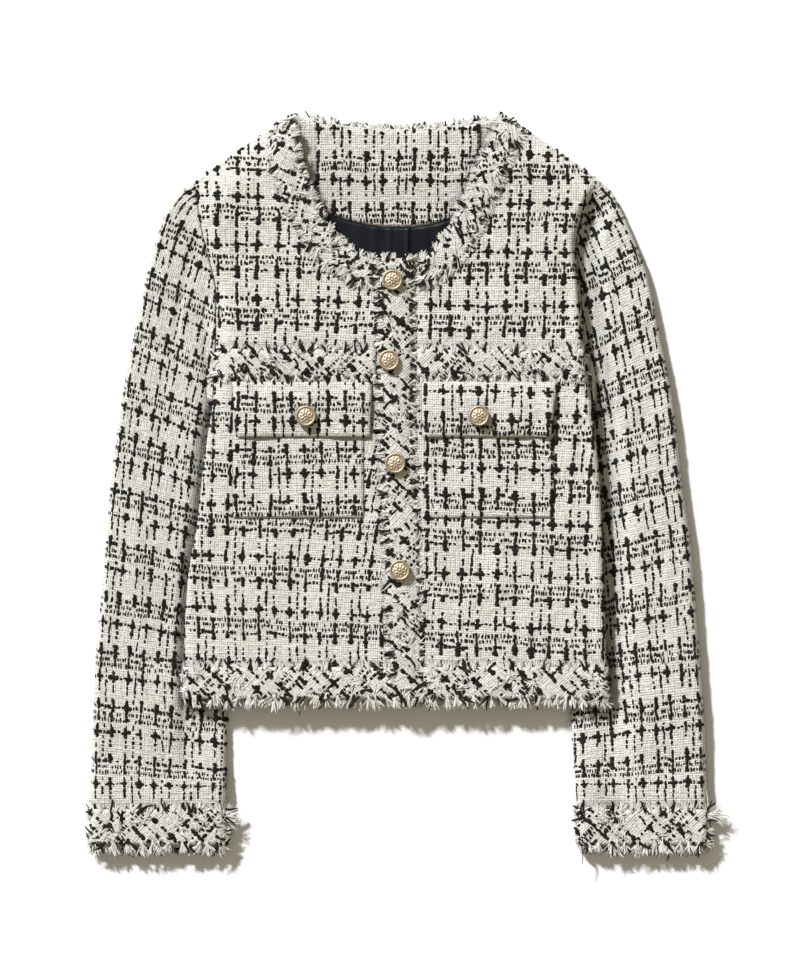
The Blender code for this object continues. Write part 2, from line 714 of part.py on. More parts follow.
# ------------------------------------------------------------------ pockets
def make_chest_trim(side, material, parent):
    rows = []
    for y in CHEST_TRIM_Y:
        stops = [CHEST_TRIM_X[side]] + front_stops(side, y)[-len(FRONT_SHARES):]
        row = [front_point(side, x, y, SEAT) for x in stops]
        row += [turned_point(side, angle, y, SEAT) for angle in CHEST_TRIM_ANGLES]
        rows.append(row)
    flipped = side == "right"
    sheet(f"chest_trim_{side}", rows, flipped, TRIM_WALL, 1.0, material, parent)


def make_flap(side, material, parent):
    rows = []
    for y, lift in FLAP_ROWS:
        down = (FLAP_ROWS[-1][0] - y) / (FLAP_ROWS[-1][0] - FLAP_ROWS[0][0])
        start = mix(FLAP_X[side][0], FLAP_BOTTOM_X[side][0], down)
        end = mix(FLAP_X[side][1], FLAP_BOTTOM_X[side][1], down)
        rows.append([front_point(side, x, y, lift) for x in steps(start, end, 6)])
    flipped = side == "right"
    sheet(f"flap_{side}", rows, flipped, WALL, 1.0, material, parent)


def make_pocket(side, material, parent):
    start, end = POCKET_X[side]
    rows = [[front_point(side, x, y, SEAT) for x in steps(start, end, 6)] for y in POCKET_Y]
    flipped = side == "right"
    sheet(f"pocket_{side}", rows, flipped, WALL, 1.0, material, parent)


# ------------------------------------------------------------------ buttons
def button_profile():
    """Radius and height down the outside of a domed button with a rim and a foot."""
    top = BUTTON_FOOT + BUTTON_THICK
    return (
        (0.0, top),
        (0.50 * BUTTON_RADIUS, top - 0.0002),
        (0.78 * BUTTON_RADIUS, top - 0.0010),
        (0.88 * BUTTON_RADIUS, top - 0.0005),
        (BUTTON_RADIUS, top - 0.0014),
        (0.90 * BUTTON_RADIUS, BUTTON_FOOT),
        (0.36 * BUTTON_RADIUS, BUTTON_FOOT),
        (0.36 * BUTTON_RADIUS, 0.0),
        (0.0, 0.0),
    )


def make_button_mesh():
    work = bmesh.new()
    line = [work.verts.new((radius, 0.0, z)) for radius, z in button_profile()]
    edges = [work.edges.new(pair) for pair in zip(line, line[1:])]
    axis = {"cent": (0, 0, 0), "axis": (0, 0, 1), "angle": 2.0 * math.pi}
    bmesh.ops.spin(work, geom=line + edges, steps=BUTTON_SIDES, use_merge=True, **axis)
    bmesh.ops.remove_doubles(work, verts=work.verts, dist=1e-6)
    bmesh.ops.recalc_face_normals(work, faces=work.faces)
    mesh = bpy.data.meshes.new("button")
    work.to_mesh(mesh)
    work.free()
    mesh.shade_smooth()
    mesh.set_sharp_from_angle(angle=math.radians(40.0))
    return mesh


def make_buttons(material, parent):
    shape = make_button_mesh()
    for name, x, y, carrier in BUTTONS:
        if carrier == "strip":
            base = strip_base(y) + TRIM_WALL
        else:
            side = "right" if x < 0 else "left"
            base = front_level(side, abs(x), y) + read(FLAP_ROWS, y, 1) + WALL
        button = bpy.data.objects.new(name, shape)
        bpy.context.scene.collection.objects.link(button)
        button.location = (x, y, base + SEAM)
        button.parent = parent
    shape.materials.append(material)


# ------------------------------------------------------------------ materials and assembly
def make_material(name, colour, roughness, metallic):
    material = bpy.data.materials.new(name)
    material.use_nodes = True
    shader = material.node_tree.nodes["Principled BSDF"]
    shader.inputs["Base Color"].default_value = (*colour, 1.0)
    shader.inputs["Roughness"].default_value = roughness
    shader.inputs["Metallic"].default_value = metallic
    material.diffuse_color = (*colour, 1.0)
    return material


def centre_on_origin(parent):
    """Move the laid jacket so that the origin is under the middle of its outline."""
    bpy.context.view_layer.update()
    spans = []
    for piece in parent.children:
        shape = piece.evaluated_get(bpy.context.evaluated_depsgraph_get())
        spans += [shape.matrix_world @ Vector(corner) for corner in shape.bound_box]
    for axis in (0, 1):
        low = min(p[axis] for p in spans)
        high = max(p[axis] for p in spans)
        parent.location[axis] = -(low + high) / 2.0
    parent.location.z = -min(p.z for p in spans)


def main():
    for old in list(bpy.data.objects):
        bpy.data.objects.remove(old, do_unlink=True)
    jacket = bpy.data.objects.new("jacket", None)
    bpy.context.scene.collection.objects.link(jacket)

    tweed = make_material("tweed", (0.72, 0.70, 0.63), 0.92, 0.0)
    trim = make_material("frayed_tweed", (0.66, 0.65, 0.60), 0.95, 0.0)
    satin = make_material("satin_lining", (0.012, 0.016, 0.024), 0.40, 0.0)
    gold = make_material("gold_metal", (0.80, 0.60, 0.34), 0.30, 1.0)

    make_back(tweed, jacket)
    make_facing(tweed, jacket)
    make_lining(satin, jacket)
    for side in SIDES:
        make_front(side, tweed, jacket)
        make_sleeve(side, tweed, jacket)
        make_neck_trim(side, trim, jacket)
        make_hem_trim(side, trim, jacket)
        make_cuff_trim(side, trim, jacket)
        make_chest_trim(side, trim, jacket)
        make_flap(side, tweed, jacket)
        make_pocket(side, tweed, jacket)
    make_back_neck_trim(trim, jacket)
    make_back_hem_trim(trim, jacket)
    make_front_strip(trim, jacket)
    make_buttons(gold, jacket)
    centre_on_origin(jacket)


main()
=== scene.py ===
"""Looks of a cropped tweed jacket with frayed trims, laid flat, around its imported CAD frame.

Lengths are in metres. The tables are in the laid frame of the jacket: X from the centre front
towards the wearer's left, Y from the lowest threads of the cuffs towards the neck, and Z up from
the table. SHIFT moves them into the frame of the CAD model. "right" and "left" are the wearer's.
"""

import json
import math

import bpy
import numpy as np
from mathutils import Vector
from mathutils.bvhtree import BVHTree
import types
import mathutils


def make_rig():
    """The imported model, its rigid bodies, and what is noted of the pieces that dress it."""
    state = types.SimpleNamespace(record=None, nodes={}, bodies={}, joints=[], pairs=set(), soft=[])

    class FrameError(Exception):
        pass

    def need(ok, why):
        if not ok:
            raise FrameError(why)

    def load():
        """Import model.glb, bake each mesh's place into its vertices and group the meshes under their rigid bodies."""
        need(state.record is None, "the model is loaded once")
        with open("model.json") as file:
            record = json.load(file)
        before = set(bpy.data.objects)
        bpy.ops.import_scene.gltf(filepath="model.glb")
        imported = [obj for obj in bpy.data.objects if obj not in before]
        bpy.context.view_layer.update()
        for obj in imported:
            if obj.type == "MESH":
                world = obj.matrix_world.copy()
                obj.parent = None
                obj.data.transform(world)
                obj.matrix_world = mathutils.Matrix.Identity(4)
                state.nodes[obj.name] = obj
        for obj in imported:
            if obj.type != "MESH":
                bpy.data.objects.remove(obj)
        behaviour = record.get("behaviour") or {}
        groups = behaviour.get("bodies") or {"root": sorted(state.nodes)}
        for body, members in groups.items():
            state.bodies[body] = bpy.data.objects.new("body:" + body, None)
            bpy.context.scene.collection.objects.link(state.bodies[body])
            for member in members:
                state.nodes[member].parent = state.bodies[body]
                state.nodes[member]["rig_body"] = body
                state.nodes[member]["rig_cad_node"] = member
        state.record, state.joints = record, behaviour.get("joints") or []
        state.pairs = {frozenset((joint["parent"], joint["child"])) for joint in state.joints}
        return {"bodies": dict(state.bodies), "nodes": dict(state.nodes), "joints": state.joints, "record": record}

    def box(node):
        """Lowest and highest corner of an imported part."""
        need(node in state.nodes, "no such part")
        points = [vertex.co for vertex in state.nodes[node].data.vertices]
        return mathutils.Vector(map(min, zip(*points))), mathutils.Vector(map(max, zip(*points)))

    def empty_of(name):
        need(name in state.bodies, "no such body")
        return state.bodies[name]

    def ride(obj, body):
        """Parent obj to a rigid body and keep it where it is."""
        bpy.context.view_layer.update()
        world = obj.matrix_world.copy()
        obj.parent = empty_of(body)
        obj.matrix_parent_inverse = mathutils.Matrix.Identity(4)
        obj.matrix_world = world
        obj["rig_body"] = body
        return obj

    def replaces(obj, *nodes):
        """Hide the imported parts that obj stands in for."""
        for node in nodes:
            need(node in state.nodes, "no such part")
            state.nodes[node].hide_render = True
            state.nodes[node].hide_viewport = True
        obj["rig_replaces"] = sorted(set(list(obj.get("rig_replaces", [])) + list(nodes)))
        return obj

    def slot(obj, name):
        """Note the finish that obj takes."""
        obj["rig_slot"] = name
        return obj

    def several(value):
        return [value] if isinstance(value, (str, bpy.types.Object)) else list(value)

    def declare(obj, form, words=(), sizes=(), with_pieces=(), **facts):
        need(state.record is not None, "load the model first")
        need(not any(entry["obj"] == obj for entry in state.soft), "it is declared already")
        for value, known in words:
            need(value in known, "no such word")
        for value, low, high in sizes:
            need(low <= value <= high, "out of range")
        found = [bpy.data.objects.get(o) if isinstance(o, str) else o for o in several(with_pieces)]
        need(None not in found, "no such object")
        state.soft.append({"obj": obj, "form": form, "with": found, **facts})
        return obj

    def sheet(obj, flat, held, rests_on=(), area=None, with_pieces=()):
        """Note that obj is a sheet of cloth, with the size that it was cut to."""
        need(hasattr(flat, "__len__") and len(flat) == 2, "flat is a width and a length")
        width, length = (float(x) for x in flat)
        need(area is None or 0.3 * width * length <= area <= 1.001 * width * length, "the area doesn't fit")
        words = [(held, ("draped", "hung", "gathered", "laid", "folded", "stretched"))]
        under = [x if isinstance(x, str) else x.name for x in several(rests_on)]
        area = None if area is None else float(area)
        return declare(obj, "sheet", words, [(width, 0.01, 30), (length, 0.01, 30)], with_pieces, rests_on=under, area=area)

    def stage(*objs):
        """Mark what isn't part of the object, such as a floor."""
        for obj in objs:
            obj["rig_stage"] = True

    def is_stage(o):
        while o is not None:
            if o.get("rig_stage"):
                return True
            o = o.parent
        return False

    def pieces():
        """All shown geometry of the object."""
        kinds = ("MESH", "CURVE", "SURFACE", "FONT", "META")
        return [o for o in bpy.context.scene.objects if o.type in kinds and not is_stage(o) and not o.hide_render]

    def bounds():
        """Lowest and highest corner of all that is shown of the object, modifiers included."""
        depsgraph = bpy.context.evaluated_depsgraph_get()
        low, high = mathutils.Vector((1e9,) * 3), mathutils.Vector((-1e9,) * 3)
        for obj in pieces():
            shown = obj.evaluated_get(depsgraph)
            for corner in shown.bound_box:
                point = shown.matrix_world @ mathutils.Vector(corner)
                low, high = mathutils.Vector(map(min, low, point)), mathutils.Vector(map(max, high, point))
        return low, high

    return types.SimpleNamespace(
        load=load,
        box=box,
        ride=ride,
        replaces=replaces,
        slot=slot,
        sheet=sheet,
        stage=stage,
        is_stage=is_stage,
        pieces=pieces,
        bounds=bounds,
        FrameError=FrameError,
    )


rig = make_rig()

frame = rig.load()
cad_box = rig.bounds()

SIDES = ("right", "left")
BODY = "root"

# Where the tables' origin lies in the CAD frame, found from a button that both know.
BUTTON_1 = (-0.005, 0.5085)
button_low, button_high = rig.box("button_1")
button_middle = (button_low + button_high) / 2.0
SHIFT = np.array([button_middle.x - BUTTON_1[0], button_middle.y - BUTTON_1[1], 0.0])

# ------------------------------------------------------------------ sizes of the garment
WALL = 0.002  # thickness of the tweed
TRIM_WALL = 0.0019
SATIN_WALL = 0.001
SEAM = 0.0003  # gap between pieces that are sewn to each other
SEAT = 0.0004  # gap between pieces that lie on each other
NECK_SEAT = 0.0007
HEM_Y = 0.141
UNDERARM_Y = 0.401
NECK_BOTTOM_Y = 0.5265
SHOULDER_Y = 0.595
TOP_Y = 0.6535
NECK_POINT = (0.0925, 0.656)
SHOULDER_POINT = (0.179, SHOULDER_Y)
FRONT_Z = 0.0175
BACK_LIFT = 0.0097  # of the back's sides, over the sleeves under them
TRIM_LIFT = 0.0027  # of the cloth, over a strip under it
SHOULDER_Z = 0.0075
FOLD_REACH = 0.006  # of a side fold, from where the front starts to turn
UNDER_REACH = 0.003  # of the turned front on the underside, from there to the side seam
RIM_DROP = 0.0022
SHOULDER_TURN = 0.032
BACK_TURN = 0.010
ARMHOLE_FALL = 0.010
SHOULDER_FALL_Y = (0.591, 0.625)
BACK_RISE = (-0.040, -0.008)
BACK_RISE_END_Y = (0.406, 0.461)
HEM_LIFT_Y = (0.176, 0.205)
NECK_LIFT_Y = (0.566, 0.604)
NECK_LIFT_X = (0.095, 0.125)
OVERLAP_RIGHT_X = 0.011
OVERLAP_LEFT_X = -0.016
OVERLAP_DROP = 0.0028
OVERLAP_STEP_X = (0.0125, 0.0203)

# Side folds and armholes: y, distance of the edge from the centre on the right and on the left.
EDGE_ROWS = (
    (0.141, 0.187, 0.184),
    (0.187, 0.188, 0.183),
    (0.246, 0.185, 0.181),
    (0.293, 0.177, 0.1795),
    (0.359, 0.170, 0.175),
    (0.401, 0.163, 0.170),
    (0.456, 0.160, 0.164),
    (0.496, 0.160, 0.161),
    (0.541, 0.170, 0.157),
    (0.566, 0.175, 0.164),
    (0.595, 0.179, 0.179),
)
# Front edge of the armhole: y, height of the cloth.
ARMHOLE_ROWS = (
    (0.401, 0.0150),
    (0.430, 0.0150),
    (0.496, 0.0135),
    (0.566, 0.0120),
    (0.595, 0.0100),
)
# Front neckline: y, distance of the edge from the centre on the right and on the left, and how
# far the neck trim leans down from level there, in degrees.
NECK_ROWS = (
    (0.5270, 0.0060, 0.0130, 88.0),
    (0.5285, 0.0225, 0.0210, 88.0),
    (0.5320, 0.0350, 0.0270, 70.0),
    (0.5410, 0.0490, 0.0360, 56.0),
    (0.5520, 0.0580, 0.0450, 46.0),
    (0.5660, 0.0660, 0.0515, 38.0),
    (0.5840, 0.0755, 0.0600, 31.0),
    (0.5950, 0.0800, 0.0650, 28.0),
    (0.6130, 0.0860, 0.0715, 28.0),
    (0.6320, 0.0900, 0.0810, 31.0),
    (0.6430, 0.0918, 0.0863, 33.0),
    (0.6535, 0.0935, 0.0915, 35.0),
)
# Inner edge of a sleeve, under the body: y, distance from the centre.
SLEEVE_INSIDE_ROWS = (
    (0.176, 0.145),
    (0.220, 0.131),
    (0.270, 0.118),
    (0.310, 0.106),
    (0.360, 0.100),
    (0.440, 0.110),
)
# Rings of a sleeve, from the armhole to the cuff. Outer end: y, and distance from the centre on
# the right and on the left. Inner end: the same. Then the height of the top layer beside the
# body and under it, and the height of the middle of the ring at its outer and inner end.
SLEEVE_ROWS = (
    (0.595, 0.1790, 0.1790, 0.4022, 0.1630, 0.1700, 0.0100, 0.0150, 0.0078, 0.0128),
    (0.584, 0.1950, 0.1935, 0.3990, 0.1660, 0.1730, 0.0115, 0.0110, 0.0068, 0.0056),
    (0.561, 0.2085, 0.2050, 0.3915, 0.1480, 0.1545, 0.0120, 0.0085, 0.0062, 0.0043),
    (0.518, 0.2200, 0.2180, 0.3815, 0.1340, 0.1400, 0.0125, 0.0085, 0.0063, 0.0043),
    (0.462, 0.2320, 0.2300, 0.3700, 0.1190, 0.1240, 0.0132, 0.0085, 0.0066, 0.0043),
    (0.400, 0.2435, 0.2420, 0.3560, 0.1030, 0.1070, 0.0138, 0.0085, 0.0069, 0.0043),
    (0.333, 0.2525, 0.2495, 0.3050, 0.1070, 0.1100, 0.0145, 0.0085, 0.0072, 0.0043),
    (0.280, 0.2570, 0.2570, 0.2620, 0.1200, 0.1220, 0.0145, 0.0085, 0.0072, 0.0043),
    (0.227, 0.2615, 0.2615, 0.2130, 0.1325, 0.1340, 0.0145, 0.0085, 0.0072, 0.0043),
    (0.174, 0.2660, 0.2655, 0.1630, 0.1460, 0.1480, 0.0145, 0.0085, 0.0072, 0.0043),
    (0.130, 0.2680, 0.2690, 0.1280, 0.1505, 0.1520, 0.0145, 0.0085, 0.0072, 0.0043),
    (0.108, 0.2690, 0.2700, 0.1060, 0.1510, 0.1535, 0.0145, 0.0100, 0.0072, 0.0050),
    (0.060, 0.2700, 0.2715, 0.0600, 0.1515, 0.1565, 0.0145, 0.0145, 0.0072, 0.0072),
    (0.009, 0.2695, 0.2720, 0.0090, 0.1520, 0.1600, 0.0145, 0.0145, 0.0072, 0.0072),
)
# The bend of the rings under the arm: ring, how far outside and above the underarm it lies.
KNEE_ROWS = (
    (0.0, 0.002, 0.012),
    (1.0, 0.006, 0.001),
    (2.0, 0.0055, -0.0045),
    (3.0, 0.005, -0.0105),
    (4.0, 0.004, -0.0170),
    (5.0, 0.003, -0.0235),
)
# How low the cloth lies along the armhole and the side: y, drop of the front's edge on the right
# and on the left, drop of the sleeve beside it on the right and on the left.
ARMHOLE_DIPS = (
    (0.120, 0.0000, 0.0000, 0.0000, 0.0020),
    (0.200, 0.0000, 0.0000, 0.0000, 0.0048),
    (0.330, 0.0000, 0.0000, 0.0005, 0.0078),
    (0.401, 0.0002, 0.0004, 0.0014, 0.0104),
    (0.430, 0.0014, 0.0030, 0.0018, 0.0115),
    (0.465, 0.0018, 0.0054, 0.0018, 0.0125),
    (0.505, 0.0016, 0.0070, 0.0016, 0.0120),
    (0.548, 0.0012, 0.0056, 0.0012, 0.0100),
    (0.578, 0.0004, 0.0020, 0.0004, 0.0036),
    (0.600, 0.0000, 0.0000, 0.0000, 0.0000),
)
# A soft ridge of the front, inside its side: y, its height on the right and on the left.
RIDGE_ROWS = (
    (0.170, 0.0, 0.0000),
    (0.230, 0.0, 0.0013),
    (0.330, 0.0, 0.0018),
    (0.400, 0.0, 0.0028),
    (0.490, 0.0, 0.0036),
    (0.545, 0.0, 0.0022),
    (0.585, 0.0, 0.0000),
)
RIDGE_INSIDE, RIDGE_HALF, RIDGE_START = 0.0038, 0.0058, 0.0026
LOWEST = 0.0040  # what lies beneath is at least this high
FRONT_DIP_WIDTH = {"right": 0.014, "left": 0.0040}
SLEEVE_DIP_WIDTH = {"right": (0.002, 0.016), "left": (0.0105, 0.025)}
UNDER_DIP_WIDTH = 0.012
# The cuffs lie flatter than the sleeves: ys between which they come down, and by how much.
CUFF_DOWN_Y = (0.020, 0.125)
CUFF_DOWN = 0.0045
ARMHOLE_BOW = ((0.0, 1.0), (1.0, 0.6), (2.0, 0.25), (3.0, 0.0))
PRESS_WIDTH = {"right": 0.009, "left": 0.030}
RING_REACH = 0.0065
CUFF_LIFT_Y = (0.055, 0.085)

# Front edge strip: y, distance of its middle from the centre.
FRONT_STRIP_ROWS = (
    (0.1345, 0.008),
    (0.253, 0.005),
    (0.350, 0.000),
    (0.438, -0.002),
    (0.529, -0.001),
)

POCKET_Y = (0.299, 0.4035)
POCKET_X = {"right": (0.030, 0.145), "left": (0.0235, 0.137)}
FLAP_X = {"right": (0.0230, 0.146), "left": (0.0205, 0.140)}
FLAP_BOTTOM_X = {"right": (0.0240, 0.141), "left": (0.0215, 0.134)}
FLAP_ROWS = (  # y, lift of the flap off the front
    (0.3700, 0.0012),
    (0.3800, 0.0017),
    (0.3880, 0.0022),
    (0.4030, 0.0024),
    (0.4120, 0.0012),
    (0.4190, SEAT),
)
FLAP_END_LIFT = {"right": 0.0, "left": 0.0022}
BACK_NECK_Y = 0.6405
BACK_NECK_RISE = 0.0125
BACK_NECK_CORNER = (0.080, 0.003)
FACING_BOTTOM_Y = 0.5555
FACING_BOTTOM_RISE = 0.0170
FACING_HALF = 0.072
FACING_SEAT = 0.0006
FACING_WALL = 0.0015
LINING_BOTTOM_Y = 0.500
LINING_HALF = 0.062

WARPS = 16
WEFTS = 22
CELL_U = 0.0022
CELL_V = 0.0021
REPEAT_U = WARPS * CELL_U
REPEAT_V = WEFTS * CELL_V

# How the check lies on each panel. Columns: y, the place of a thin stripe along X, and the pitch
# of the stripes, in metres.
STRIPES = {
    "right": (
        (0.2033, -0.1690, 0.0268),
        (0.2622, -0.1725, 0.0284),
        (0.4998, -0.1681, 0.0356),
        (0.5878, -0.1681, 0.0361),
    ),
    "left": (
        (0.2033, 0.0299, 0.0317),
        (0.2622, 0.0334, 0.0311),
        (0.4998, 0.0370, 0.0334),
        (0.5878, 0.0405, 0.0334),
    ),
}


# ------------------------------------------------------------------ reading the tables
def read(rows, at, column=1):
    """The value of a column between the rows of a table, along a smooth curve with no overshoot."""
    rows = sorted(rows)
    place = np.array([row[0] for row in rows])
    value = np.array([row[column] for row in rows])
    at = np.clip(at, place[0], place[-1])
    k = np.clip(np.searchsorted(place, at, side="right") - 1, 0, len(place) - 2)
    run = np.diff(place)
    rise = np.diff(value) / run
    slope = np.zeros(len(place))
    slope[0], slope[-1] = rise[0], rise[-1]
    product, total = rise[:-1] * rise[1:], rise[:-1] + rise[1:]
    mean = 2.0 * product / np.where(np.abs(total) > 1e-12, total, 1.0)
    slope[1:-1] = np.where(product > 0.0, mean, 0.0)
    t = (at - place[k]) / run[k]
    t2, t3 = t * t, t * t * t
    result = (2 * t3 - 3 * t2 + 1) * value[k] + (t3 - 2 * t2 + t) * run[k] * slope[k]
    return result + (3 * t2 - 2 * t3) * value[k + 1] + (t3 - t2) * run[k] * slope[k + 1]


def side_column(side):
    return 1 + SIDES.index(side)


def outward(side):
    """Which way along X the side lies."""
    return -1.0 if side == "right" else 1.0


def ease(value, start, end):
    """0 before start, 1 after end and a smooth rise between them."""
    share = np.clip((value - start) / (end - start), 0.0, 1.0)
    return share * share * (3.0 - 2.0 * share)


def quarter_round(share):
    """The height of a quarter circle: upright at 0 and level from 1 on."""
    return np.sqrt(1.0 - (1.0 - np.clip(share, 0.0, 1.0)) ** 2)


def soft_round(share):
    return np.sin(0.5 * np.pi * np.clip(share, 0.0, 1.0))


def mix(a, b, share):
    return a + (b - a) * share


def unit(vectors):
    length = np.linalg.norm(vectors, axis=-1, keepdims=True)
    return vectors / np.maximum(length, 1e-12)


# ------------------------------------------------------------------ outline and heights
def shoulder_x(y):
    rise = (NECK_POINT[1] - y) / (NECK_POINT[1] - SHOULDER_POINT[1])
    return mix(NECK_POINT[0], SHOULDER_POINT[0], rise)


def edge_x(side, y):
    """Distance of the side fold, armhole or shoulder seam from the centre."""
    return np.where(y > SHOULDER_Y, shoulder_x(y), read(EDGE_ROWS, y, side_column(side)))


def shoulder_distance(x, y):
    run = NECK_POINT[0] - SHOULDER_POINT[0]
    rise = NECK_POINT[1] - SHOULDER_POINT[1]
    length = math.hypot(run, rise)
    return ((NECK_POINT[0] - np.abs(x)) * rise - (NECK_POINT[1] - y) * run) / length


def front_inner_x(side, y):
    """Distance of the front's inner edge from the centre, below zero where it overlaps."""
    overlap = -OVERLAP_RIGHT_X if side == "right" else OVERLAP_LEFT_X
    return np.where(y <= NECK_BOTTOM_Y, overlap, read(NECK_ROWS, y, side_column(side)))


def back_neck_y(x):
    return BACK_NECK_Y + BACK_NECK_RISE * (x / NECK_POINT[0]) ** 2


def facing_bottom_y(x):
    return FACING_BOTTOM_Y + FACING_BOTTOM_RISE * (x / FACING_HALF) ** 2


def back_level(x, y):
    """Height of the underside of the back panel."""
    inside = read(SLEEVE_INSIDE_ROWS, y)
    over_sleeve = ease(np.abs(x), inside + BACK_RISE[0], inside + BACK_RISE[1])
    level = BACK_LIFT * over_sleeve * (1.0 - ease(y, *BACK_RISE_END_Y))
    level = level + TRIM_LIFT * (1.0 - ease(y, *HEM_LIFT_Y))
    level = level + TRIM_LIFT * ease(y, *NECK_LIFT_Y) * (1.0 - ease(np.abs(x), *NECK_LIFT_X))
    turn = soft_round(shoulder_distance(x, y) / BACK_TURN)
    return mix(SHOULDER_Z - SEAM - RIM_DROP, level, turn)


def front_level(side, x, y):
    """Height of the top of a front, away from its side fold. x is the distance outward."""
    column = side_column(side)
    level = np.full(np.shape(x), FRONT_Z)
    if side == "left":
        level = level - OVERLAP_DROP * (1.0 - ease(x, *OVERLAP_STEP_X))
    fall = ease(read(EDGE_ROWS, y, column) - x, 0.0, ARMHOLE_FALL)
    share = np.where(y > UNDERARM_Y, 1.0 - ease(y, *SHOULDER_FALL_Y), 0.0)
    level = mix(level, mix(read(ARMHOLE_ROWS, y), level, fall), share)
    inside = edge_x(side, y) - x
    depth = np.where(y > UNDERARM_Y, read(ARMHOLE_DIPS, y, column), 0.0)
    depth = np.minimum(depth, np.maximum(level - LOWEST, 0.0))
    level = level - depth * (1.0 - ease(inside, 0.0, FRONT_DIP_WIDTH[side]))
    ridge = np.exp(-(((inside - RIDGE_INSIDE) / RIDGE_HALF) ** 2))
    level = level + read(RIDGE_ROWS, y, column) * ridge * ease(inside, 0.0, RIDGE_START)
    turn = soft_round(shoulder_distance(x, y) / SHOULDER_TURN)
    return mix(SHOULDER_Z + RIM_DROP, level, turn)


# ------------------------------------------------------------------ creases
# Soft creases of the fronts: the points of each, in (distance outward, y), then its half width
# and its height, below zero for a trough.
FRONT_CREASES = {
    "right": (
        (((0.150, 0.430), (0.128, 0.398), (0.117, 0.352)), 0.0075, -0.0009),
        (((0.158, 0.392), (0.146, 0.340), (0.150, 0.286)), 0.0085, 0.0008),
        (((0.165, 0.330), (0.158, 0.262), (0.166, 0.205)), 0.0080, -0.0007),
        (((0.096, 0.286), (0.090, 0.232), (0.104, 0.182)), 0.0110, -0.0006),
        (((0.060, 0.250), (0.066, 0.205)), 0.0090, 0.0005),
        (((0.128, 0.600), (0.140, 0.548), (0.136, 0.500)), 0.0100, -0.0008),
        (((0.100, 0.560), (0.092, 0.505)), 0.0110, 0.0006),
    ),
    "left": (
        (((0.150, 0.520), (0.140, 0.472), (0.144, 0.438)), 0.0080, -0.0009),
        (((0.158, 0.398), (0.150, 0.348), (0.158, 0.300)), 0.0075, 0.0008),
        (((0.148, 0.290), (0.152, 0.236), (0.144, 0.190)), 0.0090, -0.0007),
        (((0.080, 0.262), (0.088, 0.212), (0.080, 0.178)), 0.0110, 0.0006),
        (((0.046, 0.276), (0.050, 0.222)), 0.0095, -0.0006),
        (((0.120, 0.612), (0.128, 0.560), (0.122, 0.520)), 0.0100, -0.0007),
        (((0.096, 0.520), (0.088, 0.478)), 0.0100, 0.0006),
    ),
}
BACK_CREASES = (
    (((0.000, 0.630), (0.006, 0.560), (0.002, 0.470)), 0.0130, -0.0005),
    (((-0.120, 0.560), (-0.104, 0.490), (-0.112, 0.420)), 0.0110, -0.0006),
    (((0.118, 0.548), (0.108, 0.476), (0.120, 0.404)), 0.0110, -0.0006),
    (((-0.060, 0.330), (-0.070, 0.260), (-0.058, 0.190)), 0.0120, -0.0005),
    (((0.072, 0.350), (0.062, 0.282), (0.070, 0.196)), 0.0120, -0.0005),
)
# Creases of the sleeves: points in (ring, share of the ring's width from its outer end).
SLEEVE_CREASES = {
    "right": (
        (((0.7, 0.30), (2.2, 0.34), (3.6, 0.40)), 0.45, 0.030, -0.0010),
        (((1.4, 0.12), (3.2, 0.16), (4.6, 0.20)), 0.40, 0.030, 0.0008),
        (((4.4, 0.10), (5.1, 0.26), (5.6, 0.44)), 0.28, 0.040, -0.0010),
        (((5.3, 0.52), (5.9, 0.40), (6.5, 0.30)), 0.26, 0.040, -0.0008),
        (((6.6, 0.16), (7.6, 0.22), (8.6, 0.17)), 0.40, 0.040, 0.0007),
        (((7.4, 0.48), (8.6, 0.42), (9.6, 0.46)), 0.40, 0.040, -0.0007),
        (((9.4, 0.24), (10.4, 0.28), (11.5, 0.22)), 0.50, 0.050, -0.0007),
    ),
    "left": (
        (((0.6, 0.34), (2.0, 0.36), (3.4, 0.44)), 0.45, 0.030, -0.0010),
        (((1.2, 0.16), (2.8, 0.20), (4.2, 0.18)), 0.40, 0.030, 0.0008),
        (((4.6, 0.12), (5.3, 0.24), (5.8, 0.42)), 0.28, 0.040, -0.0009),
        (((5.6, 0.56), (6.2, 0.42), (6.9, 0.32)), 0.26, 0.040, -0.0008),
        (((6.8, 0.14), (7.9, 0.20), (8.9, 0.16)), 0.40, 0.040, 0.0007),
        (((7.8, 0.50), (8.9, 0.44), (9.9, 0.50)), 0.40, 0.040, -0.0007),
        (((9.6, 0.30), (10.7, 0.24), (11.6, 0.30)), 0.50, 0.050, -0.0006),
    ),
}


def crease_lift(line, x, y, half_x, half_y, lift):
    """Height that a crease along a line of points adds at (x, y), fading towards its ends."""
    nearest = np.full(np.shape(x), np.inf)
    run = np.zeros(np.shape(x))
    steps = len(line) - 1
    for k, ((ax, ay), (bx, by)) in enumerate(zip(line, line[1:])):
        dx, dy = (bx - ax) / half_x, (by - ay) / half_y
        px, py = (x - ax) / half_x, (y - ay) / half_y
        t = np.clip((px * dx + py * dy) / (dx * dx + dy * dy), 0.0, 1.0)
        distance = (px - t * dx) ** 2 + (py - t * dy) ** 2
        closer = distance < nearest
        nearest = np.where(closer, distance, nearest)
        run = np.where(closer, (k + t) / steps, run)
    return lift * np.exp(-nearest) * np.sin(np.pi * np.clip(0.08 + 0.84 * run, 0.0, 1.0))


def creases(table, x, y):
    """Height that the creases of a table add together. Their half width may differ each way."""
    total = np.zeros(np.shape(x))
    for line, *half, lift in table:
        total += crease_lift(line, x, y, half[0], half[-1], lift)
    return total


WAVES = 7


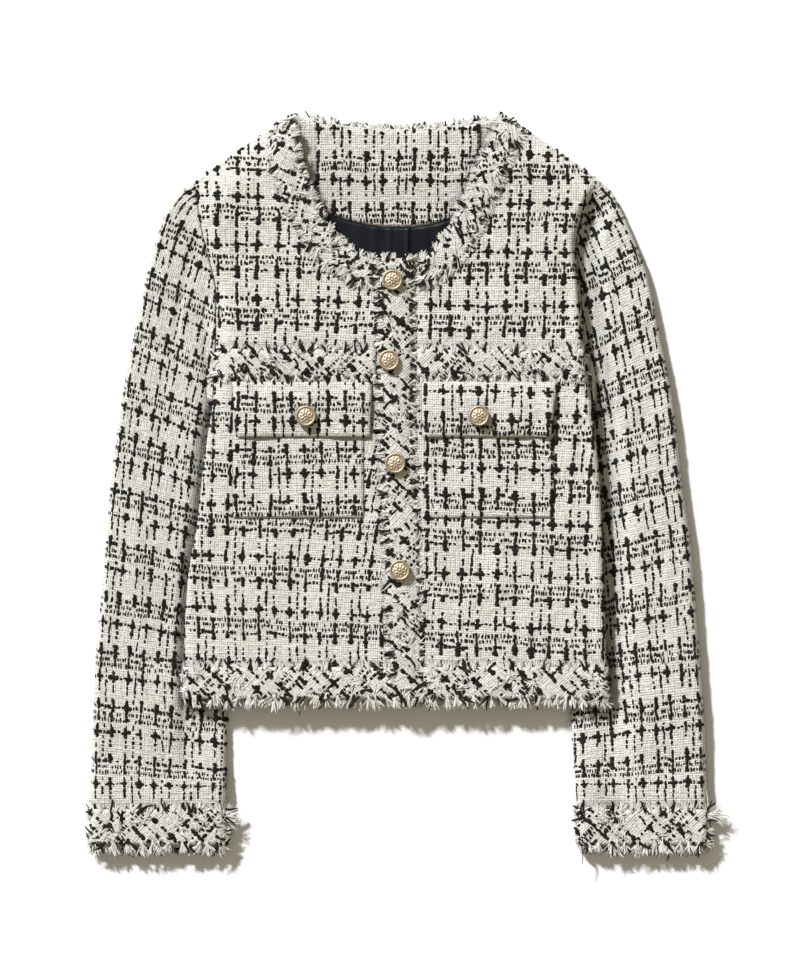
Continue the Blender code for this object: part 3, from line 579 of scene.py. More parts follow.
def soft_waves(x, y, seed, size, height):
    """A gentle unevenness of the cloth, as a few crossing waves."""
    draw = np.random.default_rng(seed)
    total = np.zeros(np.shape(x))
    for _ in range(WAVES):
        angle = draw.uniform(0.0, math.pi)
        length = size * draw.uniform(0.6, 1.6)
        phase = draw.uniform(0.0, 2.0 * math.pi)
        run = x * math.cos(angle) + y * math.sin(angle)
        total += np.sin(2.0 * math.pi * run / length + phase)
    return height * total / WAVES


# ------------------------------------------------------------------ making shells
class Cloth:
    """A sheet of cloth: a grid of points on its outer face, a second grid on its inner face and
    the weave coordinates of the outer one. cells says which quads of the grid exist. Where
    closed is true the last column repeats the first one, as on a tube."""

    def __init__(self, outer, inner, weave, cells=None, closed=False):
        self.outer = outer
        self.inner = inner
        self.weave = weave
        rows, columns = outer.shape[:2]
        self.cells = np.ones((rows - 1, columns - 1), bool) if cells is None else cells
        self.closed = closed
        self.tree = None

    def corners(self):
        """Row and column of the four corners of each quad that exists."""
        row, column = np.nonzero(self.cells)
        rows = np.stack([row, row, row + 1, row + 1], axis=1)
        columns = np.stack([column, column + 1, column + 1, column], axis=1)
        return rows, columns

    def build(self, name, material):
        """The closed shell as an object."""
        rows, columns = self.corners()
        count = self.outer.shape[1] - (1 if self.closed else 0)
        size = self.outer.shape[0] * count
        wrapped = columns % count if self.closed else columns
        top = rows * count + wrapped
        outer = self.outer[:, :count].reshape(-1, 3)
        inner = self.inner[:, :count].reshape(-1, 3)
        edge_a = top.reshape(-1)
        edge_b = np.roll(top, -1, axis=1).reshape(-1)
        corner = np.arange(top.size)
        keys = np.minimum(edge_a, edge_b) * (2 * size) + np.maximum(edge_a, edge_b)
        _, inverse, counts = np.unique(keys, return_inverse=True, return_counts=True)
        rim = corner[counts[inverse] == 1]
        wall = np.stack([edge_b[rim], edge_a[rim], edge_a[rim] + size, edge_b[rim] + size], axis=1)
        faces = np.concatenate([top, top[:, ::-1] + size, wall])
        points = np.concatenate([outer, inner])
        weave = self.weave[rows, columns]
        next_weave = np.roll(weave, -1, axis=1).reshape(-1, 2)
        flat = weave.reshape(-1, 2)
        wall_weave = np.stack([next_weave[rim], flat[rim], flat[rim], next_weave[rim]], axis=1)
        corners = np.concatenate([weave, weave[:, ::-1], wall_weave])
        return make_mesh(name, points, faces, corners, material)

    def place(self, u, v):
        """Where weave coordinates lie on the outer face: which were found, and for those the
        point, the way that u and v run there, and the outward normal."""
        if self.tree is None:
            rows, columns = self.corners()
            first = np.stack([rows[:, [0, 1, 2]], columns[:, [0, 1, 2]]], axis=2)
            second = np.stack([rows[:, [0, 2, 3]], columns[:, [0, 2, 3]]], axis=2)
            self.triangles = np.concatenate([first, second])
            flat = self.weave.reshape(-1, 2)
            spots = np.column_stack([flat, np.zeros(len(flat))]).tolist()
            index = self.triangles[..., 0] * self.outer.shape[1] + self.triangles[..., 1]
            self.tree = BVHTree.FromPolygons(spots, index.tolist())
        down = Vector((0.0, 0.0, -1.0))
        hits = [self.tree.ray_cast(Vector((a, b, 1.0)), down, 2.0)[2] for a, b in zip(u, v)]
        found = np.array([hit is not None for hit in hits], bool)
        chosen = self.triangles[[hit for hit in hits if hit is not None]]
        u, v = np.asarray(u)[found], np.asarray(v)[found]
        r, c = chosen[..., 0], chosen[..., 1]
        w, p, q = self.weave[r, c], self.outer[r, c], self.inner[r, c]
        a, b = w[:, 1] - w[:, 0], w[:, 2] - w[:, 0]
        det = a[:, 0] * b[:, 1] - a[:, 1] * b[:, 0]
        det = np.where(np.abs(det) < 1e-14, 1e-14, det)
        du, dv = u - w[:, 0, 0], v - w[:, 0, 1]
        s = (du * b[:, 1] - dv * b[:, 0]) / det
        t = (a[:, 0] * dv - a[:, 1] * du) / det
        e, f = p[:, 1] - p[:, 0], p[:, 2] - p[:, 0]
        point = p[:, 0] + s[:, None] * e + t[:, None] * f
        along_u = (b[:, 1, None] * e - a[:, 1, None] * f) / det[:, None]
        along_v = (a[:, 0, None] * f - b[:, 0, None] * e) / det[:, None]
        normal = unit(np.cross(e, f))
        out = (p - q).mean(axis=1)
        normal *= np.sign((normal * out).sum(axis=1))[:, None]
        return found, point, along_u, along_v, normal


def make_mesh(name, points, faces, corners, material, smooth=True, normals=None):
    """An object from arrays. corners holds the UV of each corner of each face, or is None, and
    normals the shading normal of each point, or is None."""
    mesh = bpy.data.meshes.new(name)
    faces = np.asarray(faces)
    per = faces.shape[1]
    mesh.vertices.add(len(points))
    points = points + SHIFT
    points[:, 2] = np.maximum(points[:, 2], 0.0)  # nothing reaches below the table
    mesh.vertices.foreach_set("co", points.astype(np.float32).ravel())
    mesh.loops.add(faces.size)
    mesh.loops.foreach_set("vertex_index", faces.astype(np.int32).ravel())
    mesh.polygons.add(len(faces))
    mesh.polygons.foreach_set("loop_start", np.arange(0, faces.size, per, dtype=np.int32))
    if corners is not None:
        layer = mesh.uv_layers.new(name="weave")
        layer.data.foreach_set("uv", corners.astype(np.float32).ravel())
    mesh.polygons.foreach_set("use_smooth", np.full(len(faces), smooth))
    mesh.materials.append(material)
    mesh.update(calc_edges=True)
    mesh.validate()
    if normals is not None:
        mesh.normals_split_custom_set_from_vertices(normals.astype(np.float32))
    piece = bpy.data.objects.new(name, mesh)
    bpy.context.scene.collection.objects.link(piece)
    return piece


def grid_normals(points, closed=False):
    """Unit normals of a grid of points, by the differences along its rows and columns."""
    along = np.gradient(points, axis=1)
    if closed:
        core = points[:, :-1]
        ahead = np.roll(core, -1, axis=1) - np.roll(core, 1, axis=1)
        along = np.concatenate([ahead, ahead[:, :1]], axis=1)
    across = np.gradient(points, axis=0)
    return unit(np.cross(along, across))


# ------------------------------------------------------------------ materials
class Nodes:
    """A short way to write a material's node tree."""

    def __init__(self, name):
        self.material = bpy.data.materials.new(name)
        self.material.use_nodes = True
        self.tree = self.material.node_tree
        self.shader = self.tree.nodes["Principled BSDF"]

    def add(self, kind, inputs=(), **settings):
        node = self.tree.nodes.new(kind)
        for key, value in settings.items():
            setattr(node, key, value)
        for key, value in dict(inputs).items():
            self.put(node.inputs[key], value)
        return node

    def put(self, socket, value):
        if isinstance(value, bpy.types.NodeSocket):
            self.tree.links.new(value, socket)
        elif isinstance(value, bpy.types.Node):
            self.tree.links.new(value.outputs[0], socket)
        elif isinstance(value, tuple) and len(value) == 3 and socket.type == "RGBA":
            socket.default_value = (*value, 1.0)
        else:
            socket.default_value = value

    def math(self, operation, a, b=0.0, c=0.0):
        node = self.tree.nodes.new("ShaderNodeMath")
        node.operation = operation
        for socket, value in zip(node.inputs, (a, b, c)):
            self.put(socket, value)
        return node.outputs[0]

    def plus(self, a, b):
        return self.math("ADD", a, b)

    def minus(self, a, b):
        return self.math("SUBTRACT", a, b)

    def times(self, a, b):
        return self.math("MULTIPLY", a, b)

    def mix(self, share, a, b, blend="MIX"):
        node = self.tree.nodes.new("ShaderNodeMix")
        node.data_type = "RGBA"
        node.blend_type = blend
        self.put(node.inputs[0], share)
        self.put(node.inputs[6], a)
        self.put(node.inputs[7], b)
        return node.outputs[2]

    def ramp(self, value, start, end):
        node = self.tree.nodes.new("ShaderNodeMapRange")
        node.interpolation_type = "SMOOTHSTEP"
        self.put(node.inputs[0], value)
        node.inputs[1].default_value = start
        node.inputs[2].default_value = end
        return node.outputs[0]

    def noise(self, vector, scale, detail=2.0, rough=0.5):
        inputs = {"Vector": vector, "Scale": scale, "Detail": detail, "Roughness": rough}
        return self.add("ShaderNodeTexNoise", inputs).outputs[0]

    def bump(self, height, distance, strength=1.0, below=None):
        inputs = {"Height": height, "Distance": distance, "Strength": strength}
        node = self.add("ShaderNodeBump", inputs)
        if below is not None:
            self.put(node.inputs["Normal"], below)
        return node.outputs[0]

    def finish(self, colour, roughness, normal=None, **constants):
        self.put(self.shader.inputs["Base Color"], colour)
        self.put(self.shader.inputs["Roughness"], roughness)
        if normal is not None:
            self.put(self.shader.inputs["Normal"], normal)
        for key, value in constants.items():
            self.shader.inputs[key].default_value = value
        return self.material


CREAM = (0.815, 0.805, 0.715)
WHITE = (0.930, 0.935, 0.890)
BEIGE = (0.690, 0.650, 0.540)
# The colour painted as shade in the gaps between the yarns, and also the colour of darker fibres at random.
GAP_SHADE_AND_DARK_FIBRE = (0.360, 0.340, 0.270)
# The colour painted as shade where the cloth lies deep between other pieces.
PAINTED_SHADE = (0.072, 0.074, 0.076)
BLACKS = ((0.0095, 0.0090, 0.0065), (0.0125, 0.0118, 0.0085), (0.0200, 0.0190, 0.0145))
CREAMS = ((0.66, 0.635, 0.555), (0.755, 0.740, 0.675), (0.85, 0.85, 0.815))


def weave_material(name, gap_shade_share, painted_shade_share):
    """Cream yarns in a plain weave: slubby, each a little different, with painted shade in the gaps between them and
    where the cloth lies deep.
    """
    n = Nodes(name)
    split = n.add("ShaderNodeSeparateXYZ", {0: n.add("ShaderNodeUVMap", uv_map="weave")})
    place = n.add("ShaderNodeTexCoord").outputs["Object"]
    warp = n.math("DIVIDE", split.outputs[0], CELL_U)
    weft = n.math("DIVIDE", split.outputs[1], CELL_V)

    def streaks(across, along, detail=2.0):
        inputs = {0: n.times(warp, across), 1: n.times(weft, along)}
        return n.noise(n.add("ShaderNodeCombineXYZ", inputs).outputs[0], 1.0, detail, 0.6)

    down, sideways = streaks(0.95, 0.16), streaks(0.16, 0.95)
    bend = streaks(0.55, 0.55, 1.0)
    warp = n.plus(warp, n.times(n.minus(bend, 0.5), 0.9))
    weft = n.plus(weft, n.times(n.minus(down, 0.5), 0.7))
    across = n.math("ABSOLUTE", n.math("SINE", n.times(warp, math.pi)))
    along = n.math("ABSOLUTE", n.math("SINE", n.times(weft, math.pi)))
    odd = n.plus(n.math("FLOOR", warp), n.math("FLOOR", weft))
    odd = n.math("MODULO", n.math("ABSOLUTE", odd), 2.0)
    warp_on_top = n.math("ABSOLUTE", n.minus(odd, 1.0))
    low_side, low_end = (n.plus(0.55, n.times(wave, 0.45)) for wave in (along, across))
    as_warp = n.times(n.math("POWER", across, 0.6), low_side)
    as_weft = n.times(n.math("POWER", along, 0.6), low_end)
    height = n.plus(as_weft, n.times(n.minus(as_warp, as_weft), warp_on_top))
    cell = n.add("ShaderNodeCombineXYZ", {0: n.math("FLOOR", warp), 1: n.math("FLOOR", weft)})
    spot = n.add("ShaderNodeTexWhiteNoise", {"Vector": cell.outputs[0]}).outputs[0]
    fibres = n.noise(place, 1300.0, 3.0, 0.7)
    cloud = n.noise(place, 55.0, 2.0, 0.6)
    tone = n.mix(n.ramp(down, 0.44, 0.68), CREAM, BEIGE)
    tone = n.mix(n.ramp(sideways, 0.50, 0.72), tone, WHITE)
    tone = n.mix(n.times(n.ramp(spot, 0.55, 0.95), 0.55), tone, WHITE)
    tone = n.mix(n.times(n.ramp(cloud, 0.45, 0.68), 0.40), tone, WHITE)
    broken = n.noise(place, 420.0, 2.0, 0.65)
    hollow = n.add("ShaderNodeAmbientOcclusion", {"Distance": 0.022}, samples=4, inside=False)
    # Painted shade in the low places between the yarns, broken up by noise.
    gap = n.times(n.minus(1.0, n.ramp(height, 0.05, 0.70)), gap_shade_share)
    tone = n.mix(n.times(gap, n.ramp(broken, 0.34, 0.66)), tone, GAP_SHADE_AND_DARK_FIBRE)
    # Darker fibres at random, in the same colour as the painted gap shade.
    tone = n.mix(n.times(n.ramp(fibres, 0.42, 0.70), 0.38), tone, GAP_SHADE_AND_DARK_FIBRE)
    # Painted shade: darker where the cloth lies deep between others, found by ambient occlusion.
    shade = n.minus(1.0, n.ramp(hollow.outputs["AO"], 0.38, 0.90))
    tone = n.mix(n.times(shade, painted_shade_share), tone, PAINTED_SHADE)
    swell = n.times(n.plus(down, sideways), 0.95)
    rough = n.plus(n.times(fibres, 0.45), n.times(broken, 0.60))
    total = n.plus(n.plus(n.times(height, 0.42), swell), rough)
    normal = n.bump(total, 0.0013, 1.0)
    return n.finish(tone, 0.92, normal, **{"Sheen Weight": 0.08, "Specular IOR Level": 0.25})


NUMBERS = 1000.0  # the U of a strand or mound is its own number over this


def yarn_material(name, colours, roughness, sheen):
    """Fluffy yarn: colours from low to high, picked by each strand's own number."""
    n = Nodes(name)
    object_place = n.add("ShaderNodeTexCoord").outputs["Object"]
    split = n.add("ShaderNodeSeparateXYZ", {0: n.add("ShaderNodeUVMap", uv_map="weave")})
    strand = n.math("FLOOR", n.times(split.outputs[0], NUMBERS))
    draw = n.add("ShaderNodeTexWhiteNoise", {"W": strand}, noise_dimensions="1D").outputs[0]
    fibres = n.noise(object_place, 2200.0, 2.0, 0.6)
    tone = n.mix(n.ramp(draw, 0.1, 0.5), colours[0], colours[1])
    tone = n.mix(n.ramp(draw, 0.6, 0.95), tone, colours[2])
    tone = n.mix(n.times(n.ramp(fibres, 0.4, 0.7), 0.3), tone, colours[0])
    normal = n.bump(fibres, 0.0003, 0.7)
    return n.finish(tone, roughness, normal, **{"Sheen Weight": sheen, "Specular IOR Level": 0.2})


def satin_material():
    n = Nodes("navy_satin")
    place = n.add("ShaderNodeTexCoord").outputs["Object"]
    stretched = n.add("ShaderNodeMapping", {"Vector": place, "Scale": Vector((3.0, 0.5, 1.0))})
    thread = n.noise(stretched.outputs[0], 1800.0, 2.0)
    cloud = n.noise(place, 45.0, 3.0)
    tone = n.mix(n.ramp(cloud, 0.35, 0.7), (0.0038, 0.0056, 0.0090), (0.0066, 0.0092, 0.0138))
    normal = n.bump(thread, 0.0002, 0.5)
    rough = n.plus(0.36, n.times(thread, 0.16))
    return n.finish(tone, rough, normal, **{"Specular IOR Level": 0.22})


def gold_material():
    n = Nodes("pale_gold")
    place = n.add("ShaderNodeTexCoord").outputs["Object"]
    hollow = n.add("ShaderNodeAmbientOcclusion", {"Distance": 0.0016}, samples=6, inside=False)
    wear = n.noise(place, 900.0, 3.0, 0.6)
    shade = n.ramp(hollow.outputs["AO"], 0.50, 0.98)
    tone = n.mix(shade, (0.070, 0.043, 0.018), (0.720, 0.600, 0.440))
    tone = n.mix(n.times(n.ramp(wear, 0.5, 0.8), 0.35), tone, (0.78, 0.68, 0.54))
    rough = n.plus(0.56, n.times(wear, 0.16))
    normal = n.bump(wear, 0.0001, 0.5)
    return n.finish(tone, rough, normal, Metallic=1.0)


def floor_material():
    n = Nodes("floor_white")
    place = n.add("ShaderNodeTexCoord").outputs["Object"]
    tone = n.mix(n.noise(place, 3.0), (0.93, 0.93, 0.93), (0.95, 0.95, 0.95))
    return n.finish(tone, 0.9)


# The two numbers are the shares of painted shade in the weave's gaps and in deep places.
TWEED = weave_material("cream_tweed", 0.52, 0.86)
STRIP = weave_material("cream_bias_strip", 0.56, 0.40)
BLACK_YARN = yarn_material("black_yarn", BLACKS, 0.9, 0.0)
CREAM_YARN = yarn_material("cream_yarn", CREAMS, 0.9, 0.10)
SATIN = satin_material()
GOLD = gold_material()


# ------------------------------------------------------------------ keeping track of pieces
def seat_piece(piece, slot, *nodes):
    """A finished piece rides on the one body and stands for its CAD nodes."""
    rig.ride(piece, BODY)
    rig.slot(piece, slot)
    if nodes:
        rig.replaces(piece, *nodes)
    return piece


# ------------------------------------------------------------------ black yarns of the check
# Where black yarn shows in a repeat: weft, warps, width and height in cells, chance, and rise in
# millimetres. Warps 0 and 8 are thick, warp 4 is thin, and the rest are the cloth's ground.
CHART = (
    (0.1, (0, 8), 1.70, 3.9, 1.00, 0.75),
    (0.0, (0, 8), 3.30, 1.55, 0.80, 0.65),
    (0.0, (4,), 1.30, 1.8, 0.90, 0.55),
    (0.0, (2, 6), 1.90, 1.25, 0.80, 0.50),
    (0.0, (10, 12, 14), 1.50, 1.10, 0.80, 0.45),
    (2.3, (0, 8), 1.25, 1.7, 0.65, 0.55),
    (2.3, (4,), 1.15, 1.7, 0.90, 0.50),
    (6.3, (0, 8), 1.35, 4.2, 0.90, 0.60),
    (4.9, (1, 2.4, 5.6, 7, 9, 10.4, 11.8, 13.2, 14.6), 1.00, 1.75, 0.92, 0.45),
    (7.2, (1.7, 3, 5, 6.3, 9.7, 11.1, 12.5, 13.9), 1.00, 1.6, 0.90, 0.45),
    (5.0, (4,), 1.15, 1.6, 0.80, 0.50),
    (7.2, (4,), 1.15, 1.6, 0.90, 0.50),
    (10.9, (0, 8), 2.00, 4.1, 1.00, 0.85),
    (10.0, (4,), 1.40, 1.8, 0.95, 0.55),
    (10.0, (2, 6), 2.10, 1.55, 0.88, 0.60),
    (10.0, (10, 12, 14), 1.65, 1.25, 0.85, 0.50),
    (12.4, (4,), 1.15, 1.7, 0.92, 0.50),
    (14.5, (4,), 1.15, 1.7, 0.90, 0.50),
    (16.4, (0, 4, 8), 1.30, 1.7, 0.92, 0.55),
    (18.3, (0, 4, 8), 1.35, 1.7, 0.95, 0.55),
    (20.2, (0, 4, 8), 1.30, 1.7, 0.90, 0.55),
)
MARK_SCALE = 1.12
KNOT = 1.45  # cells from one knot of a long mark to the next
MOST_KNOTS = 4
LARGE = 5.0  # cells; a mark of more than this gets a rounder shape
STRETCH = 1.4  # most that a mark is stretched with the weave under it
SUNK = 0.00004  # how far the rim of a mark lies under the face of the cloth


def varied(draw, size, spread, least, most):
    """Random factors about 1."""
    return np.clip(1.0 + spread * draw.standard_normal(size), least, most)


def chart_marks(u_range, v_range, draw):
    """The marks of the chart over a range of weave coordinates: place, width, height, tilt, rise
    and whether the mark is a large one."""
    found, repeats = [], []
    for (low, high), repeat in ((u_range, REPEAT_U), (v_range, REPEAT_V)):
        repeats.append(np.arange(math.floor(low / repeat) - 1, math.ceil(high / repeat) + 1))
    across, down = np.meshgrid(*repeats)
    for weft, warps, width, height, chance, rise in CHART:
        for warp in warps:
            # A repeat starts at its thin stripe.
            u = (across + (warp - 4) / WARPS) * REPEAT_U
            v = (down + weft / WEFTS) * REPEAT_V
            size = u.shape
            drift_u = soft_waves(u, v, 5, 0.075, 0.0016)
            drift_v = soft_waves(u, v, 6, 0.060, 0.0018)
            u = u + drift_u + CELL_U * 0.15 * draw.standard_normal(size)
            v = v + drift_v + CELL_V * 0.17 * draw.standard_normal(size)
            kept = draw.random(size) < chance
            wide = MARK_SCALE * width * CELL_U * varied(draw, size, 0.17, 0.6, 1.5)
            tall = MARK_SCALE * height * CELL_V * varied(draw, size, 0.18, 0.55, 1.45)
            tilt = 0.09 * draw.standard_normal(size)
            lift = rise * 0.001 * varied(draw, size, 0.2, 0.5, 1.5)
            is_large = width * height > LARGE
            large = np.full(size, float(is_large))
            rows = np.stack([u, v, wide, tall, tilt, lift, large], axis=-1)[kept]
            found.append(knotted(rows, draw) if is_large else rows)
    return np.concatenate(found)


def knotted(rows, draw):
    """Long marks as rows of knots, one for each crossing yarn that they pass."""
    upright = rows[:, 3] / CELL_V > rows[:, 2] / CELL_U
    long = np.where(upright, rows[:, 3] / CELL_V, rows[:, 2] / CELL_U)
    count = np.clip(np.round(long / KNOT), 2, MOST_KNOTS)
    parts = []
    for part in range(MOST_KNOTS):
        share = (part + 0.5) / count - 0.5
        knot = rows.copy()
        knot[:, 0] += np.where(upright, 0.0, share * rows[:, 2])
        knot[:, 1] += np.where(upright, share * rows[:, 3], 0.0)
        along, across = 1.30 / count, draw.uniform(0.72, 1.22, len(rows))
        knot[:, 2] *= np.where(upright, across, along)
        knot[:, 3] *= np.where(upright, along, across)
        knot[:, 0] += np.where(upright, 0.14 * CELL_U * draw.standard_normal(len(rows)), 0.0)
        knot[:, 1] += np.where(upright, 0.0, 0.14 * CELL_V * draw.standard_normal(len(rows)))
        parts.append(knot[part < count])
    return np.concatenate(parts)


OUTLINES = {  # directions of the corners of a mark
    8: (24.0, 66.0, 114.0, 156.0, 204.0, 246.0, 294.0, 336.0),
    6: (0.0, 58.0, 122.0, 180.0, 238.0, 302.0),
}


def repeated(faces, count, per):
    """The faces of one shape for each of count shapes of per points, and whose each face is."""
    owner = np.repeat(np.arange(count), len(faces))
    return (faces[None] + (np.arange(count) * per)[:, None, None]).reshape(-1, 3), owner


def mound_mesh(point, along_u, along_v, normal, wide, tall, tilt, lift, sides, crowned, draw):
    """Points and faces of low mounds of yarn that follow the cloth, one for each row."""
    count = len(point)
    angle = np.radians(OUTLINES[sides])
    radius = 1.0 + 0.15 * draw.standard_normal((count, sides))
    # Between an ellipse and a rectangle.
    soft = 1.0 / (np.abs(np.cos(angle)) ** 4.0 + np.abs(np.sin(angle)) ** 4.0) ** 0.25
    wobble = 0.09 * draw.standard_normal((count, sides))
    x = (radius * soft * np.cos(angle) + wobble) * 0.5 * wide[:, None]
    y = radius * soft * np.sin(angle) * 0.5 * tall[:, None]
    turn_x = x * np.cos(tilt)[:, None] - y * np.sin(tilt)[:, None]
    turn_y = x * np.sin(tilt)[:, None] + y * np.cos(tilt)[:, None]
    plane = turn_x[..., None] * along_u[:, None] + turn_y[..., None] * along_v[:, None]
    rings = [point[:, None] + plane - SUNK * normal[:, None]]
    if crowned:
        rings.append(point[:, None] + 0.70 * plane + (0.8 * lift)[:, None, None] * normal[:, None])
    rings.append((point + lift[:, None] * normal)[:, None])
    points = np.concatenate(rings, axis=1)
    k = np.arange(sides)
    ahead = (k + 1) % sides
    faces = []
    last = 0
    if crowned:
        last = sides
        faces.append(np.stack([k, ahead, ahead + sides], axis=1))
        faces.append(np.stack([k, ahead + sides, k + sides], axis=1))
    tip = np.full(sides, points.shape[1] - 1)
    faces.append(np.stack([k + last, ahead + last, tip], axis=1))
    faces, owner = repeated(np.concatenate(faces), count, points.shape[1])
    turned = (np.cross(along_u, along_v) * normal).sum(axis=1) < 0.0
    faces = np.where(turned[owner][:, None], faces[:, ::-1], faces)
    return points.reshape(-1, 3), faces, owner


def unstretched(way):
    """Ways along the cloth, no longer than STRETCH, so that yarns keep near their own size."""
    return way * np.minimum(1.0, STRETCH / np.linalg.norm(way, axis=1))[:, None]


def add_marks(name, cloth, seed, keep=None, thin=1.0, shift=0.0):
    """The black yarns of a panel, joined into one piece."""
    draw = np.random.default_rng(seed)
    flat = cloth.weave.reshape(-1, 2)
    u_range, v_range = zip(flat.min(axis=0), flat.max(axis=0))
    rows = chart_marks(u_range, v_range, draw)
    if thin < 1.0:
        rows = rows[draw.random(len(rows)) < thin]
    rows[:, 0] += shift
    found, point, along_u, along_v, normal = cloth.place(rows[:, 0], rows[:, 1])
    rows = rows[found]
    along_u, along_v = unstretched(along_u), unstretched(along_v)
    kept = np.ones(len(rows), bool) if keep is None else keep(point)
    points, faces, owners = [], [], []
    total = points_so_far = 0
    for large, sides in ((1.0, 8), (0.0, 6)):
        chosen = kept & (rows[:, 6] == large)
        parts = (point[chosen], along_u[chosen], along_v[chosen], normal[chosen])
        p, f, owner = mound_mesh(*parts, *rows[chosen, 2:6].T, sides, large > 0.5, draw)
        points.append(p)
        faces.append(f + points_so_far)
        owners.append(owner + total)
        points_so_far += len(p)
        total += int(chosen.sum())
    corners = number_corners(np.concatenate(owners))
    return make_mesh(name, np.concatenate(points), np.concatenate(faces), corners, BLACK_YARN)


def add_panel(name, cloth, seed, keep=None):
    """A panel of tweed that stands for the CAD node of its name, and a list of its yarns."""
    piece = seat_piece(cloth.build(f"{name}_tweed", TWEED), "tweed", name)
    return piece, [seat_piece(add_marks(f"{name}_yarns", cloth, seed, keep), "tweed")]


# ------------------------------------------------------------------ strands
STRAND_STEPS = 3
STRAND_SIDES = 3
FLATTENED = 0.42  # height of a strand, against its width
ROUNDNESS = 0.36  # of most strands, as fluff has soft shading


class Yarns:
    """Strands of yarn, gathered from several places and made into one piece."""

    def __init__(self):
        self.parts = []

    def add(self, start, way, up, length, radius, curl, droop):
        """Each strand starts at start, runs along way for its length, bends sideways by curl and
        sinks by droop, both in shares of its length."""
        self.parts.append((start, way, up, length, radius, curl, droop))

    def build(self, name, seed, material, blunt, roundness):
        """All strands as one piece. blunt is the share by which they thin towards their tips,
        and roundness the share of their own roundness in their shading."""
        draw = np.random.default_rng(seed)
        start, way, up, length, radius, curl, droop = (np.concatenate(p) for p in zip(*self.parts))
        side = unit(np.cross(up, way))
        count = len(start)
        t = np.linspace(0.0, 1.0, STRAND_STEPS + 1)
        wander = 0.06 * draw.standard_normal((count, STRAND_STEPS + 1)) * t
        across = curl[:, None] * t**2 + wander
        sink = droop[:, None] * t**1.6
        line = t[None, :, None] * way[:, None] + across[..., None] * side[:, None]
        line = start[:, None] + length[:, None, None] * (line - sink[..., None] * up[:, None])
        taper = 1.0 - blunt * t**2.5
        thick = radius[:, None] * taper * (1.0 + 0.14 * draw.standard_normal((count, len(t))))
        angle = 2.0 * np.pi * np.arange(STRAND_SIDES) / STRAND_SIDES + 0.5 * np.pi / STRAND_SIDES
        flat = FLATTENED * np.sin(angle)[:, None]
        ring = np.cos(angle)[:, None] * side[:, None] + flat * up[:, None]
        points = line[:, :, None] + thick[..., None, None] * ring[:, None]
        tip_way = unit(line[:, -1] - line[:, -2])
        tip = (line[:, -1] + (radius * 0.6)[:, None] * tip_way)[:, None]
        points = np.concatenate([points.reshape(count, -1, 3), tip], axis=1)
        facing = np.tile(unit(ring), (1, STRAND_STEPS + 1, 1))
        facing = np.concatenate([facing, tip_way[:, None]], axis=1)
        normals = unit(mix(up[:, None], facing, roundness)).reshape(-1, 3)
        per = points.shape[1]
        faces = []
        for step in range(STRAND_STEPS):
            for k in range(STRAND_SIDES):
                a = step * STRAND_SIDES + k
                b = step * STRAND_SIDES + (k + 1) % STRAND_SIDES
                faces.append((a, b, b + STRAND_SIDES))
                faces.append((a, b + STRAND_SIDES, a + STRAND_SIDES))
        last = STRAND_STEPS * STRAND_SIDES
        faces += [(last + k, last + (k + 1) % STRAND_SIDES, per - 1) for k in range(STRAND_SIDES)]
        faces.append((2, 1, 0))  # the root
        faces, owner = repeated(np.array(faces), count, per)
        corners = number_corners(owner)
        return make_mesh(name, points.reshape(-1, 3), faces, corners, material, normals=normals)


def number_corners(owner):
    """UVs that carry the number of the strand or mound that each triangle belongs to."""
    number = (owner % 997 + 0.5) / NUMBERS
    u = np.repeat(number[:, None], 3, axis=1)
    return np.stack([u, np.tile([0.0, 0.5, 1.0], (len(owner), 1))], axis=-1)


def on_line(run, values, at):
    return np.stack([np.interp(at, run, values[:, k]) for k in range(values.shape[1])], axis=1)


def places_along(run, spacing, spread, draw):
    count = max(int(run[-1] / spacing), 2)
    return (np.arange(count) + 0.5) * run[-1] / count + spread * draw.standard_normal(count)


FAN_PITCH = 0.0080  # along an edge, from one fan of cream yarn to the next
END_PITCH = 0.0105  # and from one group of black ends to the next
LONGEST_END = 0.0090
# Thick and thin yarns of a fan: least and greatest radius, reach against the fan's and height.
FAN_YARNS = ((0.00110, 0.00170, 0.93, -0.0004), (0.00030, 0.00055, 1.06, 0.0005))


